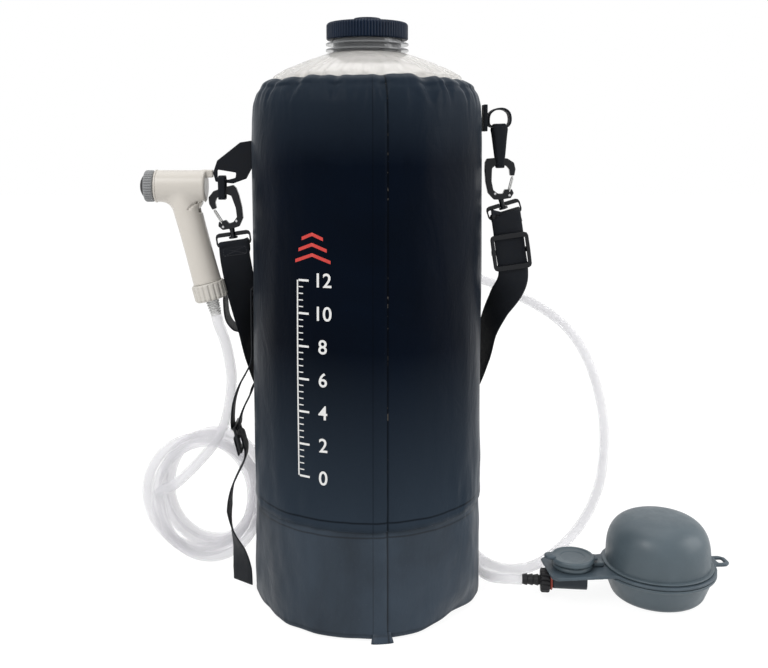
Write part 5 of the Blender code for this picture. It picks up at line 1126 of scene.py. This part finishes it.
def make_print():
    """Print a plain filling scale on the bag: ticks, numbers and red level wedges."""
    top = SCALE_BOTTOM + SCALE_STEP * (SCALE_MARKS - 1)
    bars = [(-0.0006, 0.0006, SCALE_BOTTOM, top)]
    for mark in range(SCALE_MARKS):
        level = SCALE_BOTTOM + SCALE_STEP * mark
        bars.append((0.0009, 0.0100, level - 0.0008, level + 0.0008))
        if mark + 1 < SCALE_MARKS:
            for part in range(1, 5):
                at = level + SCALE_STEP * part / 5
                bars.append((0.0009, 0.0050, at - 0.0004, at + 0.0004))
    corners = [(SCALE_LEFT + across, height) for left, right, low, high in bars
               for across, height in ((left, low), (right, low), (right, high), (left, high))]
    printed("litre_ticks", corners, [tuple(range(start, start + 4)) for start in range(0, len(corners), 4)],
            LOOKS["white_ink"])
    for mark in range(SCALE_MARKS):
        value = str(mark * LITRES_PER_MARK)
        flat, faces = numeral(value, NUMBER_SIZE)
        level = SCALE_BOTTOM + SCALE_STEP * mark
        placed = [(x + SCALE_LEFT + NUMBER_SHIFT, y + level) for x, y in flat]
        printed("litre_number_" + value, placed, faces, LOOKS["white_ink"])
    centre = SCALE_LEFT + WEDGE_SHIFT
    for number, rise in enumerate(WEDGE_RISES):
        low = top + rise
        high = low + WEDGE_THICKNESS
        spread = 0.0150 - 0.0030 * number
        lift = 0.0052 - 0.0008 * number
        flat = [(centre - spread, low), (centre, low + lift), (centre + spread, low), (centre + spread, high),
                (centre, low + lift + WEDGE_THICKNESS), (centre - spread, high)]
        printed("level_wedge_%d" % number, flat, [(0, 1, 4, 5), (1, 2, 3, 4)], LOOKS["red_ink"])


# Webbing and hardware

def hanger_knots(top, foot, top_spread, foot_spread, widths):
    """Give the closed run of a hanger loop from a top point down round a foot point."""
    top, foot = Vector(top), Vector(foot)
    down = (foot - top).normalized()
    across = SIDEWAYS.cross(down)
    top_width, middle_width, foot_width = widths
    half = [(-top_spread + WEBBING, top, 0.0, top_width), (-top_spread, top, WEBBING, top_width),
            (-top_spread, top, WEBBING * 3, middle_width), (-foot_spread, foot, -WEBBING * 3, foot_width),
            (-foot_spread, foot, -WEBBING, foot_width), (-foot_spread + WEBBING, foot, 0.0, foot_width)]
    knots, spans = [], []
    for spread, origin, drop, width in half + [(-s, o, d, w) for s, o, d, w in reversed(half)]:
        knots.append((origin + down * drop + SIDEWAYS * spread, across))
        spans.append(width)
    return knots, spans


def wrap_knots(swivel, lean, back_first):
    """Give the strap's points round the lower bar of a swivel loop."""
    matrix = upright(swivel, lean)
    way = matrix.to_3x3() @ Vector((1.0, 0.0, 0.0))
    knots = [(matrix @ Vector((0.0, level, depth)), way) for depth, level in STRAP_WRAP]
    return knots if back_first else list(reversed(knots))


def stitches(name, corners):
    """Sew a run of short stitches along a line of points on the strap."""
    path = even_points(corners, STITCH_PITCH)
    vertices, faces = [], []
    for a, b in zip(path, path[1:]):
        heading = (b - a).normalized()
        middle = (a + b) / 2
        side = heading.orthogonal().normalized()
        other = heading.cross(side)
        base = len(vertices)
        for along, scale in ((-0.5, 0.25), (-0.3, 1.0), (0.3, 1.0), (0.5, 0.25)):
            for step in range(6):
                turn = TURN * step / 6
                vertices.append(middle + heading * (STITCH_LENGTH * along)
                                + (side * math.cos(turn) + other * math.sin(turn)) * (STITCH_RADIUS * scale))
        faces += [tuple(base + index for index in face) for face in wrapped_grid(4, 6)]
        faces += [tuple(base + step for step in range(6)), tuple(base + 18 + step for step in range(6))]
    piece(name, vertices, faces, LOOKS["thread"], "bag")


def make_stitching():
    """Sew a box with a cross in it on the left strap, below its hook."""
    matrix = upright(LEFT_SWIVEL, LEFT_LEAN_DEGREES)
    turn = matrix.to_3x3()
    centre = matrix @ Vector(STITCH_CENTRE)
    across, up = turn @ Vector((STITCH_HALF_WIDTH, 0.0, 0.0)), turn @ Vector((0.0, STITCH_HALF_HEIGHT, 0.0))
    out = SIDEWAYS * -(WEBBING / 2 + STITCH_LIFT)
    corner = [centre + across * side + up * rise + out for side, rise in ((-1, -1), (1, -1), (1, 1), (-1, 1))]
    stitches("strap_stitching_box", corner + [corner[0]])
    stitches("strap_stitching_cross_a", [corner[0], corner[2]])
    stitches("strap_stitching_cross_b", [corner[1], corner[3]])


def flat_knots(route):
    """Give knots for webbing that runs in the front plane, seen edge on."""
    return [(Vector((x, 0.0, z)), SIDEWAYS) for x, z in route]


def make_straps():
    """Lay the anchors, hangers and straps in webbing."""
    right = wrap_knots(RIGHT_SWIVEL, RIGHT_LEAN_DEGREES, True)
    depth, level = STRAP_FOLD_END
    fold = (upright(RIGHT_SWIVEL, RIGHT_LEAN_DEGREES) @ Vector((0.0, level, depth)), right[0][1])
    left = [(point, -way) for point, way in wrap_knots(LEFT_SWIVEL, LEFT_LEAN_DEGREES, False)]
    strap = [fold] + right + STRAP_ROUTE + left + STRAP_TAIL_ROUTE
    for name, node, knots, width, body, closed, thickness in (
            ("right_anchor_ring", "right_anchor_webbing", flat_knots(RIGHT_RING), NARROW_WEBBING, "bag", True,
             RING_WEBBING),
            ("right_hanger_webbing", "right_hanger_loop", *hanger_knots(*RIGHT_HANGER), "bag", True, WEBBING),
            ("left_hanger_webbing", "left_hanger_loop", *hanger_knots(*LEFT_HANGER), "bag", True, WEBBING),
            ("shoulder_strap_webbing", "shoulder_strap", strap, STRAP_WIDTH, "bag", False, WEBBING),
            ("lower_anchor_strap", "lower_anchor_webbing", flat_knots(LOWER_ANCHOR_ROUTE), LOWER_ANCHOR_WIDTH,
             "bag", False, WEBBING),
            ("side_strap_webbing", "side_strap", flat_knots(SIDE_STRAP_ROUTE) + SIDE_STRAP_FOOT,
             SIDE_STRAP_WIDTH, "ladder_lock", False, WEBBING)):
        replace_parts(webbing(name, knots, width, LOOKS["webbing"], body, closed, thickness), node)
    softened("right_anchor_patch", "right_anchor_backing", LOOKS["webbing"], "bag", 0.0004, 4)
    softened("left_anchor_tab", "left_anchor_fabric", LOOKS["webbing"], "bag", 0.0004, 6)
    make_stitching()


SLIDER_GROWTH = 0.0009
RIVET = [(0.0, 0.0), (0.0012, 0.0), (0.0012, 0.0004), (0.0009, 0.0008), (0.0, 0.0010)]
RIVET_SPOTS = [(-0.0068, 0.0095), (0.0052, 0.0082)]
RIVET_DEPTH = -0.0029
LEFT_HOOK_LEAN_DEGREES = 18.0


def make_hardware():
    """Round off the hooks, loops, slider and buckle, and finish their metal."""
    look = LOOKS["buckle"]
    for side in ("right", "left"):
        softened(side + "_hook", side + "_snap_hook", look, side + "_hook", 0.00035, 10)
        softened(side + "_swivel_loop", side + "_loop_bar", look, "bag", 0.00035, 6)
        softened(side + "_gate", side + "_wire_gate", LOOKS["wire"], side + "_gate", 0.00022, 4)
    slider = softened("right_slider", "strap_slider", look, "right_slider", 0.00035, 6)
    corners = [(vertex.co.copy(), vertex.normal.copy()) for vertex in slider.data.vertices]
    middle = sum((point for point, _ in corners), Vector()) / len(corners)
    for vertex, (point, normal) in zip(slider.data.vertices, corners):
        outward_share = max(0.0, normal.dot((point - middle).normalized()))
        vertex.co = point + normal * outward_share * SLIDER_GROWTH
    softened("ladder_lock", "side_buckle", look, "ladder_lock", 0.00035, 5)
    for side, place, mirror, lean in (("right", RIGHT_SWIVEL, 1, 0.0),
                                      ("left", LEFT_SWIVEL, -1, LEFT_HOOK_LEAN_DEGREES)):
        matrix = upright(place, lean)
        for number, (x, z) in enumerate(RIVET_SPOTS):
            centre = matrix @ Vector((x * mirror, z, RIVET_DEPTH))
            turned("%s_hook_rivet_%d" % (side, number), RIVET, LOOKS["rivet"], side + "_hook", 24,
                   matrix=aimed(centre, (0.0, -1.0, 0.0)))


# Hand shower

BARREL_FRONT = -0.1750
BARREL_REAR = -0.1330
BARREL_LEVEL = 0.341
BARREL_RADIUS = 0.0131
GUN_BLEND = 0.0085
GUN_CELL = 0.0008
EASE_ROUNDS = 10
EASE_SHARE = 0.6
PROBE = 1e-5
NOZZLE_KNURLS = 36
COLLAR_FLUTES = 18
GUN_BOX = ((-0.1780, -0.0160, 0.2540), (-0.1160, 0.0160, 0.3580))
GUN_LUG = ((-0.1318, 0.0, 0.3512), (0.0036, 0.0020, 0.0024), 0.0008)
LEVER_POCKET = ((-0.14115, 0.0, 0.3240), (0.0062, 0.0050, 0.0046), 0.0004)
GUN_CREASE = [(-0.1462, 0.3225), (-0.1440, 0.3250), (-0.1415, 0.3270), (-0.1395, 0.3280)]


def meeting(first, second, edge):
    """Give the distance to where two forms overlap, with a rounded edge."""
    outside = np.stack([first + edge, second + edge], 1)
    return np.minimum(outside.max(1), 0.0) + np.linalg.norm(np.maximum(outside, 0.0), axis=1) - edge


def block(points, centre, half, edge):
    """Give the distance to a box with rounded edges."""
    rel = np.abs(points - np.array(centre)) - np.array(half)
    return np.linalg.norm(np.maximum(rel, 0.0), axis=1) + np.minimum(rel.max(1), 0.0) - edge


def blended(first, second, width):
    """Give the distance to two forms that run softly into each other."""
    near = np.clip(0.5 + 0.5 * (first - second) / width, 0.0, 1.0)
    return first * (1 - near) + second * near - width * near * (1 - near)


def gun_distance(points):
    """Give the signed distance of points to the hand shower's housing."""
    barrel = np.linalg.norm(points[:, 1:] - np.array([0.0, BARREL_LEVEL]), axis=1) - BARREL_RADIUS
    ends = np.maximum(BARREL_FRONT - points[:, 0], points[:, 0] - BARREL_REAR)
    barrel = meeting(barrel, ends, 0.0022)
    top, foot = np.array(HANDLE_TOP), np.array(HANDLE_FOOT)
    length = np.linalg.norm(foot - top)
    down = (foot - top) / length
    rel = points - top
    along = rel @ down
    across = rel - along[:, None] * down
    fore = np.linalg.norm(across[:, [0, 2]], axis=1)
    share = np.clip(along / length, 0.0, 1.0)
    radius = 0.0121 - 0.0005 * share - 0.0006 * np.sin(share * math.pi)
    handle = np.sqrt(across[:, 1] ** 2 + fore ** 2) - radius
    handle = meeting(handle, np.maximum(-along, along - length), 0.0008)
    width = GUN_BLEND * np.clip(1.0 - (points[:, 1] / BARREL_RADIUS) ** 2, 0.06, 1.0)
    body = blended(handle, barrel, width)
    body = blended(block(points, *GUN_LUG), body, 0.0015)
    body = np.maximum(body, -block(points, *LEVER_POCKET))
    flat = points[:, [0, 2]]
    crease = np.full(len(points), 1.0)
    for start, end in zip(GUN_CREASE, GUN_CREASE[1:]):
        start, span = np.array(start), np.array(end) - np.array(start)
        share = np.clip((flat - start) @ span / (span @ span), 0.0, 1.0)
        crease = np.minimum(crease, np.linalg.norm(flat - start - share[:, None] * span, axis=1))
    cut = np.maximum(crease - 0.0008, -(body + 0.0009))
    return np.maximum(body, -cut)


def surface_from(name, distance, low, high, cell, look, body):
    """Mesh the zero surface of a distance field: a voxel shell that is eased and drawn on to it."""
    low, high = np.array(low), np.array(high)
    counts = np.ceil((high - low) / cell).astype(int)
    axes = [low[k] + cell * np.arange(counts[k] + 1) for k in range(3)]
    grid = np.stack(np.meshgrid(*axes, indexing="ij"), -1)
    inside = distance(grid.reshape(-1, 3)).reshape(grid.shape[:3]) < 0
    vertices, faces, index_of = [], [], {}

    def corner_at(key):
        """Give the index of a lattice corner."""
        if key not in index_of:
            index_of[key] = len(vertices)
            vertices.append(low + cell * (np.array(key) - 0.5))
        return index_of[key]

    for cube in np.argwhere(inside):
        for axis, step in ((0, 1), (0, -1), (1, 1), (1, -1), (2, 1), (2, -1)):
            near = list(cube)
            near[axis] += step
            if inside[tuple(near)]:
                continue
            base = list(cube)
            base[axis] += max(step, 0)
            others = [k for k in range(3) if k != axis]
            ring = []
            for shift in ((0, 0), (1, 0), (1, 1), (0, 1)):
                at = list(base)
                for other, more in zip(others, shift):
                    at[other] += more
                ring.append(corner_at(tuple(at)))
            faces.append(ring)
    points = np.array(vertices)
    neighbours = [[] for _ in range(len(points))]
    for ring in faces:
        for a, b in zip(ring, ring[1:] + ring[:1]):
            neighbours[a].append(b)
            neighbours[b].append(a)
    width = max(len(set(near)) for near in neighbours)
    table = np.array([(list(set(near)) + [place] * width)[:width] for place, near in enumerate(neighbours)])
    for _ in range(EASE_ROUNDS):
        points = points * (1 - EASE_SHARE) + points[table].mean(1) * EASE_SHARE
        for _ in range(2):
            value = distance(points)
            slope = np.stack([(distance(points + np.eye(3)[k] * PROBE) - value) / PROBE for k in range(3)], 1)
            points = points - slope * (value / np.maximum((slope ** 2).sum(1), 0.25))[:, None]
    return piece(name, points.tolist(), faces, look, body)


def ribs(depth, count, start, full, power, sign=1, rise=None):
    """Give a change of radius that cuts ribs round a rim, from a start radius to full depth."""
    def cut(radius, height, angle):
        """Cut the ribs at one point."""
        deep = depth * swell(radius, start, full) * (swell(height, *rise) if rise else 1.0)
        return radius - deep * (0.5 + sign * 0.5 * math.cos(angle * count)) ** power

    return cut


def make_gun():
    """Make the hand shower: housing, lever, nozzle, collar nut and hose tail."""
    housing = surface_from("gun_housing", gun_distance, *GUN_BOX, GUN_CELL, LOOKS["gun"], "bag")
    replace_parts(housing, "gun_body")
    softened("gun_lever", "gun_trigger", LOOKS["gun"], "gun_lever", 0.0003, 5)
    rim = [(0.0100, 0.0), (0.0129, 0.0), (0.0136, 0.0006), (0.0136, 0.0016), (0.0129, 0.0020),
           (0.0100, 0.0020)]
    turned("gun_front_rim", rim, LOOKS["gun"], "bag", 96,
           matrix=aimed((BARREL_FRONT + 0.0021, 0.0, BARREL_LEVEL), (-1.0, 0.0, 0.0)))
    ring = rounded([(0.0050, 0.0005), (0.0122, 0.0005), (0.0131, 0.0018), (0.0131, 0.0070), (0.0122, 0.0082),
                    (0.0108, 0.0082), (0.0104, 0.0068), (0.0050, 0.0068)], 0.0006, 3)
    tip = rounded([(0.0, 0.0062), (0.0100, 0.0062), (0.0100, 0.0086), (0.0078, 0.0104), (0.0050, 0.0118),
                   (0.0, 0.0119)], 0.0008, 3)
    collar = rounded([(0.0092, 0.0004), (0.0128, 0.0004), (0.0137, 0.0016), (0.0137, 0.0132),
                      (0.0122, 0.0150), (0.0060, 0.0150)], 0.0008, 3)
    tail = [(0.0025, 0.0150), (0.0056, 0.0150), (0.0058, 0.0158)]
    for ridge in range(5):
        level = 0.0164 + 0.0022 * ridge
        crest = 0.0056 - 0.0002 * ridge
        tail += [(crest - 0.0008, level), (crest, level + 0.0006), (crest, level + 0.0012),
                 (crest - 0.0008, level + 0.0018)]
    tail += [(0.0044, 0.0276), (0.0042, 0.0284), (0.0025, 0.0284)]
    nozzle = aimed((BARREL_FRONT, 0.0, BARREL_LEVEL), (-1.0, 0.0, 0.0))
    foot = aimed(HANDLE_FOOT, HANDLE_HEADING)
    turn_all([
        ("nozzle_knurled_ring", "nozzle_ring", ring, "knurl", "nozzle", NOZZLE_KNURLS * 12,
         ribs(0.0008, NOZZLE_KNURLS, 0.0118, 0.0129, 2), nozzle),
        ("nozzle_spray_face", "nozzle_tip", tip, "rubber", "nozzle", 64, None, nozzle),
        ("gun_fluted_collar", "gun_collar_nut", collar, "collar", "bag", COLLAR_FLUTES * 20,
         ribs(0.0010, COLLAR_FLUTES, 0.0118, 0.0134, 3, -1, (0.0010, 0.0028)), foot),
        ("gun_barbed_tail", "gun_tail", tail, "tail", "bag", 48, None, foot)])
    seam = [(0.01125, -0.0010), (0.0118, -0.0006), (0.0118, 0.0000), (0.0113, 0.0003)]
    turned("gun_foot_ring", seam, LOOKS["collar"], "bag", 96, None, foot)


# Foot pump

PUMP_PLACE = (0.2423, -0.0195, 0.0)
PUMP_DEGREES = 184.5
VALVE_REACH = 0.0730
DOME_RADIUS = 0.0426
DOME_WALL = 0.0016
DOME_FOOT = 0.0290
DOME_TOP = 0.0672
DOME_SQUARENESS = 3.2
DOME_STEPS = 28
NUT_GRIPS = 16


def dome_curve(radius, top):
    """Give a quarter of a squared ellipse from the dome's crown to its foot."""
    power = 2 / DOME_SQUARENESS
    points = [(0.0, top)]
    for step in range(1, DOME_STEPS):
        angle = math.pi / 2 * (1 - step / DOME_STEPS)
        rise = (top - DOME_FOOT) * math.sin(angle) ** power
        points.append((radius * math.cos(angle) ** power, DOME_FOOT + rise))
    return points + [(radius, DOME_FOOT)]


def make_pump():
    """Make the foot pump: bowl, plate, dome, valve and connector."""
    pump = Matrix.Translation(Vector(PUMP_PLACE)) @ Matrix.Rotation(math.radians(PUMP_DEGREES), 4, "Z")
    valve = pump @ Matrix.Translation((VALVE_REACH, 0.0, 0.0))
    line = aimed(BARB_TIP, BARB_HEADING)
    bowl = rounded([(0.0, 0.0003), (0.0345, 0.0003), (0.0378, 0.0030), (0.0447, 0.0205), (0.0474, 0.0213),
                    (0.0474, 0.0234), (0.0430, 0.0234), (0.0418, 0.0210), (0.0352, 0.0036), (0.0, 0.0020)],
                   0.0018, 4)
    inner = DOME_RADIUS - DOME_WALL
    dome = dome_curve(DOME_RADIUS, DOME_TOP)
    dome += rounded([(0.0426, 0.0286), (0.0452, 0.0281), (0.0452, 0.0267), (inner, 0.0267)], 0.0007, 3)
    dome += reversed(dome_curve(inner, DOME_TOP - DOME_WALL))
    seat = rounded([(0.0022, 0.0266), (0.0160, 0.0266), (0.0165, 0.0280), (0.0160, 0.0294), (0.0146, 0.0308),
                    (0.0118, 0.0308), (0.0112, 0.0280), (0.0040, 0.0280), (0.0022, 0.0274)], 0.0006, 3)
    lid = rounded([(0.0, 0.0322), (0.0110, 0.0322), (0.0112, 0.0312), (0.0170, 0.0312), (0.0180, 0.0322),
                   (0.0180, 0.0346), (0.0172, 0.0358), (0.0156, 0.0358), (0.0148, 0.0349), (0.0105, 0.0347),
                   (0.0100, 0.0342), (0.0, 0.0342)], 0.0005, 3)
    barb = [(0.0018, 0.0)]
    for ridge in range(3):
        start = 0.0002 + 0.0046 * ridge
        barb += [(0.0038, start), (0.0046, start + 0.0034), (0.0046, start + 0.0040),
                 (0.0039, start + 0.0044)]
    barb += [(0.0038, 0.0145), (0.0038, 0.0250), (0.0018, 0.0250)]
    nut = rounded([(0.0041, 0.0150), (0.0084, 0.0150), (0.0097, 0.0160), (0.0097, 0.0218), (0.0086, 0.0228),
                   (0.0041, 0.0228)], 0.0007, 3)
    made = turn_all([
        ("pump_bowl_moulding", "pump_bowl", bowl, "pump", "bag", 128, None, pump),
        ("pump_dome_bellows", "pump_dome", dome, "pump", "bag", 128, None, pump),
        ("pump_valve_ring", "pump_valve_seat", seat, "pump", "bag", 96, None, valve),
        ("pump_valve_lid", "pump_valve_cap", lid, "pump", "pump_valve_cap", 96, None, valve),
        ("pump_hose_barb", "pump_barb", barb, "rubber", "bag", 64, None, line),
        ("pump_grip_nut", "pump_nut", nut, "rubber", "bag", NUT_GRIPS * 12,
         ribs(0.0009, NUT_GRIPS, 0.0080, 0.0092, 4), line)])
    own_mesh(made["pump_dome"])
    softened("pump_plate", "pump_base_plate", LOOKS["plate"], "bag", 0.00055, 5)
    softened("pump_channel", "pump_air_channel", LOOKS["channel"], "bag", 0.0006, 5)
    softened("pump_duct", "pump_air_duct", LOOKS["pump"], "bag", 0.0005, 4)
    tab = [(0.0150, -0.0050), (0.0214, -0.0046), (0.0236, -0.0020), (0.0236, 0.0020), (0.0214, 0.0046),
           (0.0150, 0.0050)]
    hinge = [(-0.0150, -0.0042), (-0.0204, -0.0042), (-0.0204, 0.0042), (-0.0150, 0.0042)]
    slab("pump_valve_tab", tab, 0.0346, 0.0374, valve, LOOKS["plate"], "pump_valve_cap")
    slab("pump_valve_hinge", hinge, 0.0320, 0.0342, valve, LOOKS["plate"], "pump_valve_cap")


SLAB_INSET = 0.0005
SLAB_EDGE = 0.0004


def slab(name, outline, low, high, matrix, look, body):
    """Make a small plate with rounded edges from a flat outline."""
    shape = rounded(outline, 0.0014, 5, closed=True)
    count = len(shape)
    middle = Vector((sum(x for x, y in shape) / count, sum(y for x, y in shape) / count))
    vertices = []
    levels = (SLAB_INSET, low), (0.0, low + SLAB_EDGE), (0.0, high - SLAB_EDGE), (SLAB_INSET, high)
    for inset, level in levels:
        for x, y in shape:
            away = Vector((x, y)) - middle
            point = middle + away * (1 - inset / max(away.length, 1e-6))
            vertices.append(matrix @ Vector((point.x, point.y, level)))
    faces = wrapped_grid(4, count) + [tuple(range(count)), tuple(range(3 * count, 4 * count))]
    return piece(name, vertices, faces, look, body)


# Cap, neck and carried-over solids

CAP_RIBS = 84


def make_cap():
    """Make the ribbed screw cap with its raised boss."""
    outline = rounded([(0.0, 0.4718), (0.0286, 0.4718), (0.0286, 0.4604), (0.0326, 0.4604), (0.0335, 0.4612),
                       (0.0335, 0.4726), (0.0322, 0.4741), (0.0125, 0.4741), (0.0115, 0.4746),
                       (0.0112, 0.4778), (0.0104, 0.4784), (0.0090, 0.4779), (0.0, 0.4778)], 0.0007, 3)
    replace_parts(turned("ribbed_cap", outline, LOOKS["cap"], "cap", CAP_RIBS * 10,
                       ribs(0.0009, CAP_RIBS, 0.0316, 0.0330, 2)), "cap")


CARRIED = {
    "neck_fitting": "neck", "cap_seal": "rubber",
    "inlet_fitting": "buckle", "inlet_washer": "rubber", "inlet_lock_nut": "buckle",
    "outlet_fitting": "buckle", "outlet_washer": "rubber", "outlet_lock_nut": "buckle",
    "outlet_elbow": "buckle", "gun_washer": "rubber", "pump_intake_flap": "rubber", "pump_o_ring": "red",
}


def dress_carried():
    """Give the CAD solids that stay their finished materials."""
    for node, look in CARRIED.items():
        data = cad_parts[node].data
        data.materials.clear()
        data.materials.append(LOOKS[look])


make_camera()
make_hoses()
make_bag()
make_print()
make_straps()
make_hardware()
make_gun()
make_pump()
make_cap()
dress_carried()
make_studio()
